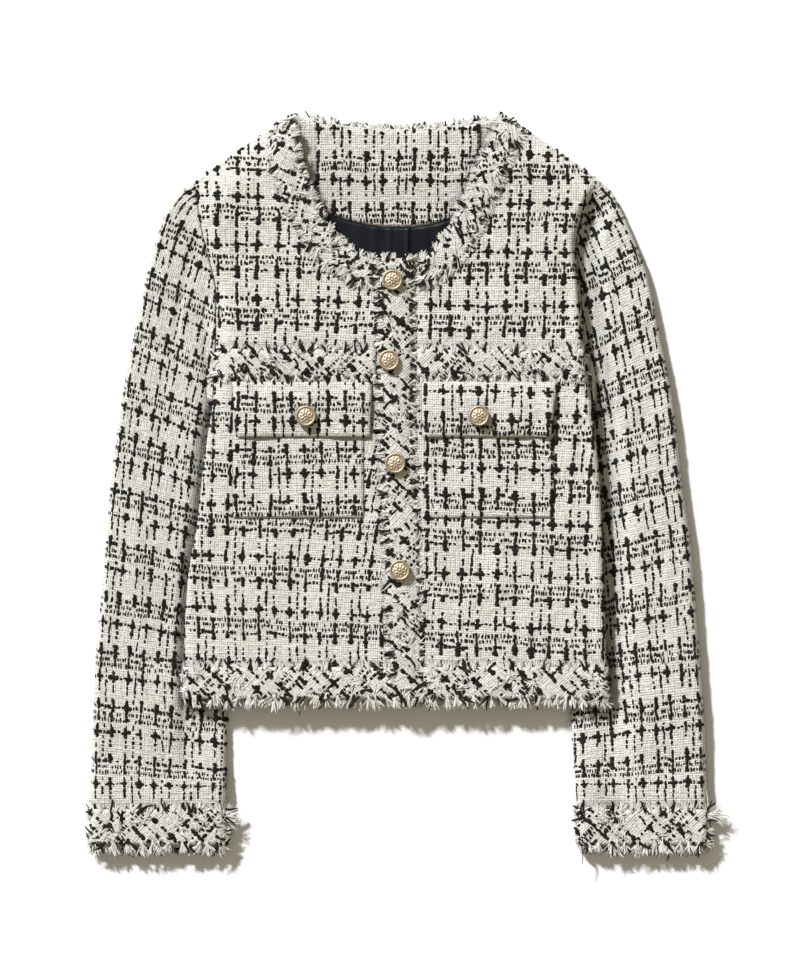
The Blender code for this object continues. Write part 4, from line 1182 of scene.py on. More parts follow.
def fray(edge, draw, reach, droop, cream, dark, density=1.0, black=1.0):
    """Frayed threads over an edge: fans of cream yarn and, between them, ends of black yarn.
    edge is its line of points, the way out over it and the way up."""
    line, out, up = edge
    along = unit(np.gradient(line, axis=0))
    step = np.linalg.norm(np.diff(line, axis=0), axis=1)
    run = np.concatenate([[0.0], np.cumsum(step)])

    def lay(yarns, at, angle, long, radius, high, curl):
        way_out, way_along = unit(on_line(run, out, at)), unit(on_line(run, along, at))
        way_up = unit(on_line(run, up, at))
        way = np.cos(angle)[:, None] * way_out + np.sin(angle)[:, None] * way_along
        start = on_line(run, line, at) - 0.45 * long[:, None] * way + high[:, None] * way_up
        sink = droop * (1.0 + 0.6 * draw.standard_normal(len(at)))
        yarns.add(start, way, way_up, 1.45 * long, radius, curl, sink)

    for place in places_along(run, FAN_PITCH / density, 0.0018, draw):
        lean, spread = 0.35 * draw.standard_normal(), draw.uniform(0.35, 0.70)
        size, root = reach * draw.uniform(0.70, 1.12), draw.uniform(0.0006, 0.0020)
        for count, (thin, fat, far, raised) in zip((4, draw.integers(8, 13)), FAN_YARNS):
            share = (np.arange(count) + 0.5) / count - 0.5
            at = place + 2.0 * share * root + 0.0003 * draw.standard_normal(count)
            angle = lean + 2.0 * share * spread + 0.12 * draw.standard_normal(count)
            long = far * size * (1.0 - 0.7 * share**2) * draw.uniform(0.78, 1.10, count)
            high = draw.uniform(-0.0003, 0.0003, count) + raised
            radius, curl = draw.uniform(thin, fat, count), 0.18 * draw.standard_normal(count)
            lay(cream, at, angle, long, radius, high, curl)
    for place in places_along(run, END_PITCH / density / black, 0.0030, draw):
        count = draw.integers(1, 3)
        at = place + 0.0022 * np.arange(count)
        angle = 0.5 * draw.standard_normal() + 0.16 * draw.standard_normal(count)
        long = min(reach, LONGEST_END) * draw.uniform(0.70, 1.20, count)
        radius, high = draw.uniform(0.0009, 0.0015, count), draw.uniform(0.0002, 0.0018, count)
        lay(dark, at, angle, long, radius, high, 0.30 * draw.standard_normal(count))


# ------------------------------------------------------------------ fronts
def weave_of_front(side, x, y):
    """Weave coordinate u of a place on a front."""
    stripe, pitch = read(STRIPES[side], y, 1), read(STRIPES[side], y, 2)
    return (x - stripe) / pitch * REPEAT_U


# Cross rows of the check down each front: y of the row near the middle of the panel.
CROSS_ROWS = {
    "right": (
        0.6256, 0.5825, 0.5394, 0.4928, 0.4466, 0.4004,
        0.3555, 0.3106, 0.2658, 0.2191, 0.1734, 0.1276,
    ),
    "left": (
        0.6186, 0.5755, 0.5324, 0.4858, 0.4390, 0.3918,
        0.3440, 0.2957, 0.2490, 0.2042, 0.1593, 0.1144,
    ),
}
ROW_SLOPE = {"right": (0.035, 0.045), "left": (0.0, 0.045)}
ROW_SLOPE_Y = {"right": (0.50, 0.20), "left": (0.50, 0.30)}
ROW_MIDDLE = {"right": -0.140, "left": 0.0915}


def row_number(side, x, y):
    """Number of the cross row that passes a place, counted down from the shoulder."""
    slope_high, slope_low = ROW_SLOPE[side]
    y_high, y_low = ROW_SLOPE_Y[side]
    slope = mix(slope_low, slope_high, np.clip((y - y_low) / (y_high - y_low), 0.0, 1.0))
    level = y + slope * (x - ROW_MIDDLE[side])
    rows = CROSS_ROWS[side][::-1]
    numbers = np.arange(len(rows))[::-1]
    extra = (rows[0] - level) / (rows[1] - rows[0])
    beyond = (level - rows[-1]) / (rows[-1] - rows[-2])
    number = np.interp(level, rows, numbers)
    number = np.where(level > rows[-1], numbers[-1] - beyond, number)
    return np.where(level < rows[0], numbers[0] + extra, number)


COVERED_Y = 0.456  # top of what lies on a front's chest


def front_relief(side, x, y):
    """Creases and soft unevenness of a front, none where something lies on it."""
    lift = creases(FRONT_CREASES[side], x, y)
    lift += soft_waves(x, y, 11 + SIDES.index(side), 0.070, 0.0011)
    calm = ease(x, 0.020, 0.036) * ease(edge_x(side, y) - x, 0.000, 0.008)
    calm = calm * ease(y, HEM_Y + 0.024, HEM_Y + 0.044)
    calm = calm * ease(x - front_inner_x(side, y), 0.018, 0.036)
    start, end = POCKET_X[side]
    beyond = np.maximum(POCKET_Y[0] - y, y - COVERED_Y)
    beside = np.maximum(np.maximum(start - x, x - end), beyond)
    return lift * calm * ease(beside, -0.002, 0.010)


def front_height(side, x, y):
    return front_level(side, x, y) + front_relief(side, x, y)


FRONT_STEP = 0.0038  # from row to row
FRONT_COLUMNS = 48  # of the flat part
TURN_ANGLES = np.radians(np.linspace(15.0, 180.0, 12))  # round the side fold, from level
UPRIGHT = 5  # the one of them that is a right angle


def front_grid(side):
    """The outer face of a front, with the turned side, and which of its quads exist."""
    low = np.arange(HEM_Y, NECK_BOTTOM_Y, FRONT_STEP)
    neck = np.array([NECK_BOTTOM_Y, 0.5271, 0.5285, 0.5305])
    ys = np.concatenate([low, neck, np.arange(0.533, TOP_Y, FRONT_STEP), [TOP_Y]])
    ys = np.sort(np.append(ys[np.abs(ys - UNDERARM_Y) > 0.0016], UNDERARM_Y))
    inner, edge = front_inner_x(side, ys), edge_x(side, ys)
    reach = np.minimum(FOLD_REACH, 0.5 * (edge - inner))
    flat = edge - reach
    shares = 1.0 - (1.0 - np.linspace(0.0, 1.0, FRONT_COLUMNS)) ** 1.25
    x = inner[:, None] + (flat - inner)[:, None] * shares
    y = np.repeat(ys[:, None], len(shares), axis=1)
    z = front_height(side, x, y)
    # Below the underarm the front turns round its side, and above it ends at the armhole.
    turn_x = flat[:, None] + reach[:, None] * np.sin(TURN_ANGLES)
    turn_y = np.repeat(ys[:, None], len(TURN_ANGLES), axis=1)
    top, bottom = front_level(side, flat, ys), back_level(flat, ys)
    middle, half = (top + bottom) / 2.0, (top - bottom) / 2.0
    low_turn = middle[:, None] + half[:, None] * np.cos(TURN_ANGLES)
    high_turn = front_level(side, np.minimum(turn_x, edge[:, None]), turn_y)
    turns = turn_y <= UNDERARM_Y + 1e-6
    ended = ~turns & (np.arange(len(TURN_ANGLES)) > UPRIGHT)
    turn_z = np.where(turns, low_turn, high_turn)
    turn_z = np.where(ended, high_turn[:, [UPRIGHT]] - RIM_DROP, turn_z)
    turn_x = np.where(ended, edge[:, None], turn_x)
    end_x = edge[:, None] - FOLD_REACH - UNDER_REACH
    end_z = back_level(end_x, ys[:, None])
    xs = np.concatenate([x, turn_x, end_x], axis=1)
    yy = np.concatenate([y, turn_y, ys[:, None]], axis=1)
    zs = np.concatenate([z, turn_z, end_z], axis=1)
    cells = np.ones((len(ys) - 1, xs.shape[1] - 1), bool)
    cells[ys[:-1] >= UNDERARM_Y - 1e-6, FRONT_COLUMNS + UPRIGHT + 1:] = False
    return np.stack([outward(side) * xs, yy, zs], axis=-1), cells


def distance_along(points):
    """Running length along each row of a grid."""
    step = np.linalg.norm(np.diff(points, axis=1), axis=2)
    return np.concatenate([np.zeros((len(points), 1)), np.cumsum(step, axis=1)], axis=1)


def make_front(side):
    points, cells = front_grid(side)
    sign = outward(side)
    x, y = points[..., 0], points[..., 1]
    # Past the flat part the weave follows the cloth round the fold.
    run = distance_along(points)
    beyond = run - run[:, [FRONT_COLUMNS - 1]]
    turned_x = x[:, [FRONT_COLUMNS - 1]] + sign * beyond
    weave_x = np.where(np.arange(points.shape[1]) < FRONT_COLUMNS, x, turned_x)
    u = weave_of_front(side, weave_x, y)
    v = row_number(side, weave_x, y) * REPEAT_V
    inner = points - WALL * (grid_normals(points) * sign)
    cloth = Cloth(points, inner, np.stack([u, v], axis=-1), cells)

    def bare(p):
        """True where nothing lies on the front."""
        px, py, pz = np.abs(p[:, 0]), p[:, 1], p[:, 2]
        start, end = POCKET_X[side]
        on_pocket = (px > start + 0.001) & (px < end - 0.001)
        on_pocket &= (py > POCKET_Y[0] + 0.001) & (py < 0.425)
        on_chest = (py > 0.4265) & (py < 0.447) & (pz > 0.012)
        on_hem = (py < 0.165) & (pz > 0.008)
        on_strip = px < 0.011
        return ~(on_pocket | on_chest | on_hem | on_strip)

    return add_panel(f"front_{side}", cloth, 101 + SIDES.index(side), bare)


fronts = {side: make_front(side) for side in SIDES}


# ------------------------------------------------------------------ back
BACK_LEVEL_Y = 0.566  # up to here the rows of the back's grid run level
BACK_PITCH, BACK_ROW_PITCH, BACK_ROW_Y = 0.033, 0.0462, 0.1734  # of the check


def make_back():
    columns = np.linspace(-1.0, 1.0, 92)

    def reach(y, inset=0.0):
        """How far out the columns reach at y: to the edge of their own side, less an inset."""
        right, left = (float(edge_x(side, y)) - inset for side in SIDES)
        return np.where(columns < 0.0, right, left)

    rows = []
    for y in np.concatenate([np.arange(HEM_Y, BACK_LEVEL_Y, 0.0042), [BACK_LEVEL_Y]]):
        x = columns * reach(y, FOLD_REACH + UNDER_REACH + SEAM if y <= UNDERARM_Y else 0.0)
        rows.append(np.stack([x, np.full_like(x, y)], axis=1))
    for rise in np.linspace(0.0, 1.0, 22)[1:]:
        x = mix(reach(BACK_LEVEL_Y), SHOULDER_POINT[0], rise) * columns
        size = np.abs(x)
        down = np.clip((size - NECK_POINT[0]) / (SHOULDER_POINT[0] - NECK_POINT[0]), 0.0, 1.0)
        corner = ease(size, BACK_NECK_CORNER[0], NECK_POINT[0])
        neck = back_neck_y(x) + BACK_NECK_CORNER[1] * corner
        top = np.where(size > NECK_POINT[0], mix(NECK_POINT[1], SHOULDER_POINT[1], down), neck)
        rows.append(np.stack([x, mix(BACK_LEVEL_Y, top, rise)], axis=1))
    x, y = np.moveaxis(np.array(rows), -1, 0)
    relief = 0.0004 + soft_waves(x, y, 31, 0.09, 0.0003) - creases(BACK_CREASES, x, y)
    points = np.stack([x, y, back_level(x, y) + np.maximum(relief, 0.0)], axis=-1)
    u = x / BACK_PITCH * REPEAT_U
    v = -(y - BACK_ROW_Y) / BACK_ROW_PITCH * REPEAT_V + 3.0 * REPEAT_V
    cloth = Cloth(points, points + WALL * grid_normals(points), np.stack([u, v], axis=-1))

    def bare(p):
        """True where no strip lies on the back."""
        return (p[:, 1] > 0.163) & (p[:, 1] < 0.632 + 3 * np.abs(p[:, 0]))

    return add_panel("back", cloth, 131, bare)


back = make_back()


# ------------------------------------------------------------------ sleeves
RINGS = 112
STRIPE_OFFSET = 0.0141
SLEEVE_PITCH = 0.0261
ROW_TILTS = (  # y at the outer edge, slope of the rows there
    (0.060, 0.00),
    (0.075, 0.06),
    (0.110, 0.115),
    (0.180, 0.125),
    (0.210, 0.160),
    (0.265, 0.210),
    (0.390, 0.335),
    (0.500, 0.465),
    (0.595, 0.480),
)
SLEEVE_ROW_Y = {"right": 0.2086, "left": 0.1672}
SLEEVE_ROW_PITCH = {"right": 0.0476, "left": 0.0497}


def numbered(rows):
    """The rows of a table with their numbers in front, to be read by number."""
    return [(float(k), *row) for k, row in enumerate(rows)]


def ring_lines(side, rings):
    """Outer end, bend and inner end of the rings, seen from above."""
    column = side_column(side)
    rows = numbered(SLEEVE_ROWS)
    outer = np.stack([read(rows, rings, 1 + column) + SEAM, read(rows, rings, 1)], axis=1)
    inner = np.stack([read(rows, rings, 4 + column) + SEAM, read(rows, rings, 4)], axis=1)
    knee_x = float(edge_x(side, UNDERARM_Y)) + read(KNEE_ROWS, rings, 1)
    knee_y = UNDERARM_Y + read(KNEE_ROWS, rings, 2)
    knee = np.stack([knee_x, knee_y], axis=1)
    fade = ease(rings, 4.0, 5.6)[:, None]
    return outer, mix(knee, mix(outer, inner, 0.6), fade), inner


def along_ring(outer, knee, inner, share):
    """Places at shares of the way from the outer end over the bend to the inner end."""
    first = np.linalg.norm(knee - outer, axis=-1, keepdims=True)
    second = np.linalg.norm(inner - knee, axis=-1, keepdims=True)
    at = share[..., None] * (first + second)
    on_first = outer + (knee - outer) * np.clip(at / first, 0.0, 1.0)
    on_second = knee + (inner - knee) * np.clip((at - first) / np.maximum(second, 1e-9), 0.0, 1.0)
    return np.where(at <= first, on_first, on_second)


def body_edge_share(side, outer, knee, inner):
    """Share of each ring's width at which it passes under the body."""
    tries = np.linspace(0.0, 1.0, 400)
    result = np.zeros(len(outer))
    for k in range(len(outer)):
        line = along_ring(outer[k][None], knee[k][None], inner[k][None], tries)
        outside = line[:, 0] > edge_x(side, line[:, 1]) + SEAM
        crossing = np.nonzero(~outside)[0]
        result[k] = tries[crossing[0]] if len(crossing) else 1.0
    return result


OFF_TABLE = 0.0003  # height of the lower layer of a sleeve


def sleeve_surface(side):
    """The outer face of a sleeve as rings: from the inner edge over the underside to the outer
    edge, and back over the top."""
    rings = np.concatenate([[0.0], np.linspace(0.12, 13.0, RINGS)])
    outer, knee, inner = ring_lines(side, rings)
    width = np.linalg.norm(knee - outer, axis=1) + np.linalg.norm(inner - knee, axis=1)
    under = body_edge_share(side, outer, knee, inner) * width
    under = np.minimum(under, width - 1.6 * RING_REACH)[:, None]
    width = width[:, None]
    near = RING_REACH * (1.0 - np.cos(np.linspace(0.0, 0.5 * np.pi, 7)))
    stops = np.concatenate([
        np.repeat(near[None], len(rings), axis=0),
        RING_REACH + (width - 2.0 * RING_REACH) * np.linspace(0.0, 1.0, 30)[1:-1],
        width - near[::-1][None],
    ], axis=1)
    share = stops / width
    plan = along_ring(outer[:, None], knee[:, None], inner[:, None], share)
    # The first rings bow as the armhole does.
    line_y = mix(outer[:, 1:2], inner[:, 1:2], share)
    line_x = mix(SHOULDER_POINT[0], float(edge_x(side, UNDERARM_Y)), share)
    x = plan[..., 0] + read(ARMHOLE_BOW, rings)[:, None] * (edge_x(side, line_y) - line_x)
    y = plan[..., 1]

    rows = numbered(SLEEVE_ROWS)
    beside, pressed, mid_out, mid_in = (read(rows, rings, k)[:, None] for k in (7, 8, 9, 10))
    mid = np.where(share < 0.5, mid_out, mid_in)
    high = mix(pressed, beside, ease(under - stops, 0.0, PRESS_WIDTH[side]))
    first = 1.0 - ease(rings, 0.0, 0.9)[:, None]
    high = mix(high, read(ARMHOLE_ROWS, y), first)
    # The deep fold beside the body.
    off_body, above = x - edge_x(side, y), y > UNDERARM_Y
    beside_it = read(ARMHOLE_DIPS, y, 2 + side_column(side))
    at_edge = np.where(above, read(ARMHOLE_DIPS, y, side_column(side)), beside_it)
    dip = mix(at_edge, beside_it, ease(off_body, 0.0, 0.0040))
    dip = dip * (1.0 - ease(off_body, *SLEEVE_DIP_WIDTH[side]))
    dip = dip * np.where(above, 1.0, 1.0 - ease(-off_body, 0.0, UNDER_DIP_WIDTH))
    high = high - np.minimum(dip, np.maximum(high - LOWEST, 0.0))
    down = CUFF_DOWN * (1.0 - ease(y, *CUFF_DOWN_Y))
    high, mid = high - down, mid - 0.5 * down
    low = first * back_level(np.minimum(x, edge_x(side, y)), y) + (1.0 - first) * OFF_TABLE
    turn = quarter_round(np.minimum(stops, width - stops) / RING_REACH)
    lift = TRIM_LIFT * (1.0 - ease(y, *CUFF_LIFT_Y))
    ring_grid = np.repeat(rings[:, None], x.shape[1], axis=1)
    relief = creases(SLEEVE_CREASES[side], ring_grid, share)
    relief += soft_waves(x, y, 51 + SIDES.index(side), 0.065, 0.0010)
    calm = ease(under - stops, 0.004, 0.016) * ease(stops, 0.002, 0.010)
    calm = calm * ease(rings, 0.2, 1.0)[:, None] * ease(y, 0.052, 0.075)
    top_z = mix(mid, high, turn) + lift + relief * calm * turn
    low_z = mix(mid, low, turn) + lift
    top, bottom = (np.stack([outward(side) * x, y, z], axis=-1) for z in (top_z, low_z))
    return np.concatenate([bottom[:, ::-1][:, :-1], top], axis=1)


def fold_distance(points, fold):
    """Distance of points from the line of a fold, seen from above."""
    x, y = points[..., 0], points[..., 1]
    nearest = np.full(x.shape, np.inf)
    for (ax, ay), (bx, by) in zip(fold[:-1, :2], fold[1:, :2]):
        dx, dy = bx - ax, by - ay
        t = np.clip(((x - ax) * dx + (y - ay) * dy) / (dx * dx + dy * dy), 0.0, 1.0)
        nearest = np.minimum(nearest, np.hypot(x - ax - t * dx, y - ay - t * dy))
    return nearest


def make_sleeve(side):
    points = sleeve_surface(side)
    half = (points.shape[1] + 1) // 2
    inner = points - WALL * (grid_normals(points, closed=True) * outward(side))
    # The stripes keep their distance from the outer fold, over it and round the underside.
    fold = points[:, half - 1]
    away = fold_distance(points, fold)
    over = away + 0.004 * (1.0 - np.exp(-away / 0.002))
    over = np.where(np.arange(points.shape[1]) < half - 1, -over, over)
    u = (over - STRIPE_OFFSET) / SLEEVE_PITCH * REPEAT_U
    by_y = [(float(y), float(x)) for x, y in fold[:, :2]]
    distance = np.abs(points[..., 0] - read(by_y, points[..., 1]))
    level = points[..., 1]
    for _ in range(8):
        level = points[..., 1] + read(ROW_TILTS, level) * distance
    v = (level - SLEEVE_ROW_Y[side]) / SLEEVE_ROW_PITCH[side] * REPEAT_V
    cloth = Cloth(points, inner, np.stack([u, v], axis=-1), closed=True)

    def shows(p):
        """True where neither the body nor the cuff's strip covers the sleeve."""
        hidden = (np.abs(p[:, 0]) < edge_x(side, p[:, 1]) - 0.012) & (p[:, 1] > 0.16)
        return ~(hidden & (p[:, 2] > 0.003)) & (p[:, 1] > 0.020)

    def in_fold(p):
        beside = np.abs(p[:, 0]) - edge_x(side, p[:, 1])
        inside = (beside > 0.0005) & (beside < 0.0120) & (p[:, 2] > 0.0030)
        return inside & (np.abs(p[:, 1] - 0.370) < 0.205)

    def under_arm(p):
        """True where that fold is deepest."""
        beside = np.abs(p[:, 0]) - edge_x(side, p[:, 1])
        return in_fold(p) & (beside < 0.0100) & (np.abs(p[:, 1] - 0.432) < 0.050)

    piece, marks = add_panel(f"sleeve_{side}", cloth, 161 + SIDES.index(side), shows)
    # On the left sleeve, more black yarns in the deep fold beside the body: partly the check folded together there,
    # partly painted shade that darkens the fold.
    if side == "left":
        folds = (("fold_yarns", 171, in_fold, 0.5), ("inner_fold_yarns", 173, under_arm, 0.25))
        for name, seed, where, shift in folds:
            folded = add_marks(f"sleeve_left_{name}", cloth, seed, where, 1.0, shift * REPEAT_U)
            marks.append(seat_piece(folded, "tweed"))
    return piece, marks


sleeves = {side: make_sleeve(side) for side in SIDES}

# ------------------------------------------------------------------ frayed strips
BIAS = 1.03
CROWN = 0.0007  # how much thicker a strip is in its middle than at its edges
TUFT_AREA = 0.000170  # of a strip to each tuft lying on it
PUFF_AREA = 0.00060  # of a strip to each puff of loose fibre
PUFF_THREADS = 16
PIECE_AREA = 0.000210  # of a strip to each end of black yarn lying on it
LOCKS = (0.0055, 0.0110)  # length of the tufts
# How each kind of strip is frayed: how far the threads reach over its first and last edge, how
# much they droop there, and how much black yarn it has.
FRINGES = {
    "front_edge": ((0.0064, 0.0064), (0.12, 0.22), 0.75),
    "neck": ((0.0066, 0.0066), (0.25, 0.12), 0.45),
    "neck_back": ((0.0052, 0.0050), (0.05, 0.05), 1.3),
    "hem": ((0.0096, 0.0066), (0.18, 0.05), 0.50),
    "hem_back": ((0.0070, 0.0060), (0.02, 0.02), 0.6),
    "chest_right": ((0.0068, 0.0062), (0.12, 0.05), 0.9),
    "chest_left": ((0.0068, 0.0062), (0.12, 0.05), 0.45),
    "cuff": ((0.0092, 0.0068), (0.10, 0.05), 0.45),
}


def make_strip(name, fringe, base, upward, turned, mirror, seed, closed=False, ends=(), tufts=(),
               locks=LOCKS):
    """A frayed strip of tweed cut on the bias. base is a grid of points on its underside: rows
    across it, columns along it. turned is true where the strip runs up the image, and mirror is
    -1 where the grid runs from the image's right to its left."""
    reach, droop, black = FRINGES[fringe]
    draw = np.random.default_rng(seed)
    normal = grid_normals(base, closed) * upward
    run = distance_along(base)
    middle = run[run.shape[0] // 2]
    rise = np.linalg.norm(np.diff(base, axis=0), axis=2)
    rise = np.concatenate([np.zeros((1, base.shape[1])), np.cumsum(rise, axis=0)])
    run = np.repeat(middle[None], len(rise), axis=0)
    p, q = (rise, run) if turned else (run, rise)
    p = p * mirror
    u, v = (p + q) * math.sqrt(0.5) * BIAS, (p - q) * math.sqrt(0.5) * BIAS
    share = rise / rise[-1]
    lumps = 0.00035 * draw.standard_normal(share.shape) + soft_waves(p, q, seed, 0.016, 0.0006)
    if closed:
        lumps[:, -1] = lumps[:, 0]
    body = np.sin(np.pi * np.clip(share, 0.0, 1.0)) ** 0.35
    thick = (TRIM_WALL - CROWN) + CROWN * body + lumps * body
    outer = base + normal * thick[..., None]
    cloth = Cloth(outer, base, np.stack([u, v], axis=-1), closed=closed)
    strip = seat_piece(cloth.build(f"{name}_strip", STRIP), "trim", name)
    marks = seat_piece(add_marks(f"{name}_yarns", cloth, seed + 1, None, 0.92), "trim")

    cream, dark = Yarns(), Yarns()
    across, along = (unit(np.gradient(outer, axis=k)) for k in (0, 1))
    for row, way_out in ((0, -1.0), (-1, 1.0)):
        edge = (outer[row], way_out * across[row], normal[row])
        fray(edge, draw, reach[row], droop[row], cream, dark, 1.0, black)
    for column in ends:
        way_out = 1.0 if column else -1.0
        edge = (outer[:, column], way_out * along[:, column], normal[:, column])
        fray(edge, draw, reach[0], droop[0], cream, dark, 1.0, black)
    for column, (first, last), way, far in tufts:
        line = outer[first:last, column]
        out, up = (np.tile(v, (len(line), 1)) for v in ([way, 0.0, 0.0], [0.0, 0.0, 1.0]))
        fray((line, out, up), draw, far, 0.10, cream, dark, 1.3, 0.45)

    rows, columns = base.shape[:2]
    area = middle[-1] * rise[-1].mean()

    def spots(a, b):
        """Places on the strip by row and column, and the ways across, along and up there."""
        a, b = np.clip(a, 0.0, rows - 1.001), np.clip(b, 0.0, columns - 1.001)
        return (grid_value(grid, a, b) for grid in (outer, across, along, normal))

    # Tufts and ends of yarn that lie on the strip, most of them along its warps.
    for yarns, number, least, most, long, thin, fat in (
        (cream, area / TUFT_AREA, 6, 11, locks, 0.00028, 0.00052),
        (dark, area / PIECE_AREA * black, 1, 2, (0.0045, 0.0105), 0.00115, 0.00175),
    ):
        for _ in range(int(number)):
            count = draw.integers(least, most)
            a = draw.uniform(0.12, 0.88) * (rows - 1) + 0.12 * draw.standard_normal(count)
            b = draw.uniform(0.01, 0.99) * (columns - 1) + 0.22 * draw.standard_normal(count)
            place, first, second, up = spots(a, b)
            if not turned:
                first, second = second, first
            spread = 0.22 if draw.random() < 0.78 else 1.3
            lean = -0.25 * math.pi + spread * draw.standard_normal()
            lean = lean + 0.10 * draw.standard_normal(count)
            way = mirror * np.cos(lean)[:, None] * first + np.sin(lean)[:, None] * second
            length = draw.uniform(*long) * draw.uniform(0.8, 1.15, count)
            high = draw.uniform(0.0000, 0.0004, count)
            start = place - 0.5 * length[:, None] * way + high[:, None] * up
            curl = 0.20 * draw.standard_normal() + 0.10 * draw.standard_normal(count)
            radius = draw.uniform(thin, fat, count)
            yarns.add(start, way, up, length, radius, curl, np.zeros(count))
    # Puffs of loose fibre.
    for _ in range(int(area / PUFF_AREA)):
        a, b = draw.uniform(0.10, 0.90) * (rows - 1), draw.uniform(0.02, 0.98) * (columns - 1)
        a = a + 0.35 * draw.standard_normal(PUFF_THREADS)
        b = b + 0.25 * draw.standard_normal(PUFF_THREADS)
        place, first, second, up = spots(a, b)
        lean = draw.uniform(0.0, 2.0 * math.pi, PUFF_THREADS)
        way = np.cos(lean)[:, None] * first + np.sin(lean)[:, None] * second
        start = place + draw.uniform(0.0004, 0.0012, PUFF_THREADS)[:, None] * up
        length = draw.uniform(0.0028, 0.0058, PUFF_THREADS)
        curl = 0.45 * draw.standard_normal(PUFF_THREADS)
        radius = draw.uniform(0.0004, 0.0008, PUFF_THREADS)
        cream.add(start, way, up, length, radius, curl, np.zeros(PUFF_THREADS))
    # Strands under the garment show from both sides.
    roundness = ROUNDNESS if closed or normal[..., 2].mean() > 0.0 else 1.0
    threads = cream.build(f"{name}_threads", seed + 2, CREAM_YARN, 0.60, roundness)
    seat_piece(threads, "trim")
    black_ends = dark.build(f"{name}_ends", seed + 3, BLACK_YARN, 0.30, roundness)
    return strip, [marks, threads, seat_piece(black_ends, "trim")]


def grid_value(grid, a, b):
    """The value of a grid of vectors between its rows and columns."""
    i, j = a.astype(int), b.astype(int)
    s, t = (a - i)[:, None], (b - j)[:, None]
    low = mix(grid[i, j], grid[i, j + 1], t)
    return mix(low, mix(grid[i + 1, j], grid[i + 1, j + 1], t), s)


# ------------------------------------------------------------------ front edge strip
FRONT_STRIP_HALF = 0.0138


def make_front_strip():
    y = np.linspace(0.1385, 0.5275, 106)
    across = np.linspace(-1.0, 1.0, 9)[:, None]
    x = read(FRONT_STRIP_ROWS, y) + 0.0007 * np.sin(y * 46.0) + across * FRONT_STRIP_HALF
    y = np.repeat(y[None], len(across), axis=0)
    z = front_level("right", np.zeros(y.shape), np.minimum(y, NECK_BOTTOM_Y)) + SEAT
    z = z - 0.0012 * ease(across, 0.1, 1.0) + soft_waves(x, y, 7, 0.05, 0.0004)
    base = np.stack([x, y, z], axis=-1)
    return make_strip("front_edge_trim", "front_edge", base, -1.0, True, 1.0, 301, ends=(0, -1))


# ------------------------------------------------------------------ neck strips
NECK_CORE = (0.0012, 0.0235)  # the whole strip is this wide without its frayed edges
NECK_LOCKS = (0.0095, 0.0185)


def make_neck_strip(side):
    rows = numbered(NECK_ROWS)
    k = np.linspace(1.0, len(rows) - 1.0, 60)
    lean = np.radians(read(rows, k, 4))
    edge, row_y = read(rows, k, 1 + side_column(side)), np.minimum(read(rows, k, 1), 0.6515)
    reach = np.linspace(*NECK_CORE, 9)[:, None]
    x = edge + reach * np.cos(lean)
    y = row_y - reach * np.sin(lean)
    z = front_height(side, np.maximum(x, front_inner_x(side, y)), y) + NECK_SEAT
    sign = outward(side)
    base = np.stack([sign * x, y, z], axis=-1)
    seed = 311 + 10 * SIDES.index(side)
    name = f"neck_trim_{side}"
    return make_strip(name, "neck", base, -sign, True, sign, seed, ends=(0, -1), locks=NECK_LOCKS)


def make_back_neck_strip():
    x = np.linspace(-0.079, 0.079, 45)
    down = np.linspace(0.0018, -0.0180, 8)
    y = back_neck_y(x) + down[:, None]
    x = np.repeat(x[None], len(down), axis=0)
    z = back_level(x, np.minimum(y, back_neck_y(x))) - SEAT
    base = np.stack([x, y, z], axis=-1)
    return make_strip("neck_trim_back", "neck_back", base, 1.0, False, 1.0, 331)


# ------------------------------------------------------------------ hem strips
HEM_CORE = (0.1400, 0.1682)


def wrapped(side, y, start, lift):
    """Points of a layer on a front and round its side fold, lift outside it. Rows follow y."""
    y = y[:, None]
    on_y = np.maximum(y, HEM_Y)
    edge = edge_x(side, on_y)
    flat = edge - FOLD_REACH
    x = mix(start, flat, np.linspace(0.0, 1.0, 44)[None])
    z = front_height(side, x, on_y) + lift
    angle = np.radians(np.linspace(18.0, 180.0, 10))[None]
    top, bottom = front_level(side, flat, on_y), back_level(flat, on_y)
    turn_x = flat + (FOLD_REACH + lift) * np.sin(angle)
    turn_z = (top + bottom) / 2.0 + ((top - bottom) / 2.0 + lift) * np.cos(angle)
    end_x = edge - FOLD_REACH - UNDER_REACH
    end_z = back_level(end_x, on_y) - lift
    x = np.concatenate([x, turn_x, end_x], axis=1)
    z = np.concatenate([z, turn_z, end_z], axis=1)
    return np.stack([outward(side) * x, np.repeat(y, x.shape[1], axis=1), z], axis=-1)


def make_hem_strip(side):
    sign = outward(side)
    start = FRONT_STRIP_HALF + 0.0006 + sign * 0.008
    base = wrapped(side, np.linspace(*HEM_CORE, 9), start, SEAT)
    seed = 341 + 10 * SIDES.index(side)
    return make_strip(f"hem_trim_{side}", "hem", base, sign, False, sign, seed, ends=(0,))


def make_back_hem_strip():
    y = np.linspace(*HEM_CORE, 9)[:, None]
    share = np.linspace(-1.0, 1.0, 96)
    on_y = np.maximum(y, HEM_Y)
    right, left = (edge_x(side, on_y) - FOLD_REACH - UNDER_REACH - SEAM for side in SIDES)
    x = np.where(share < 0.0, right, left) * share
    z = back_level(x, np.repeat(on_y, len(share), axis=1)) - SEAT
    base = np.stack([x, np.repeat(y, len(share), axis=1), z], axis=-1)
    return make_strip("hem_trim_back", "hem_back", base, -1.0, False, 1.0, 361)


# ------------------------------------------------------------------ chest strips
CHEST_CORE = (0.4225, 0.4475)
CHEST_START = {"right": 0.0195, "left": 0.0172}


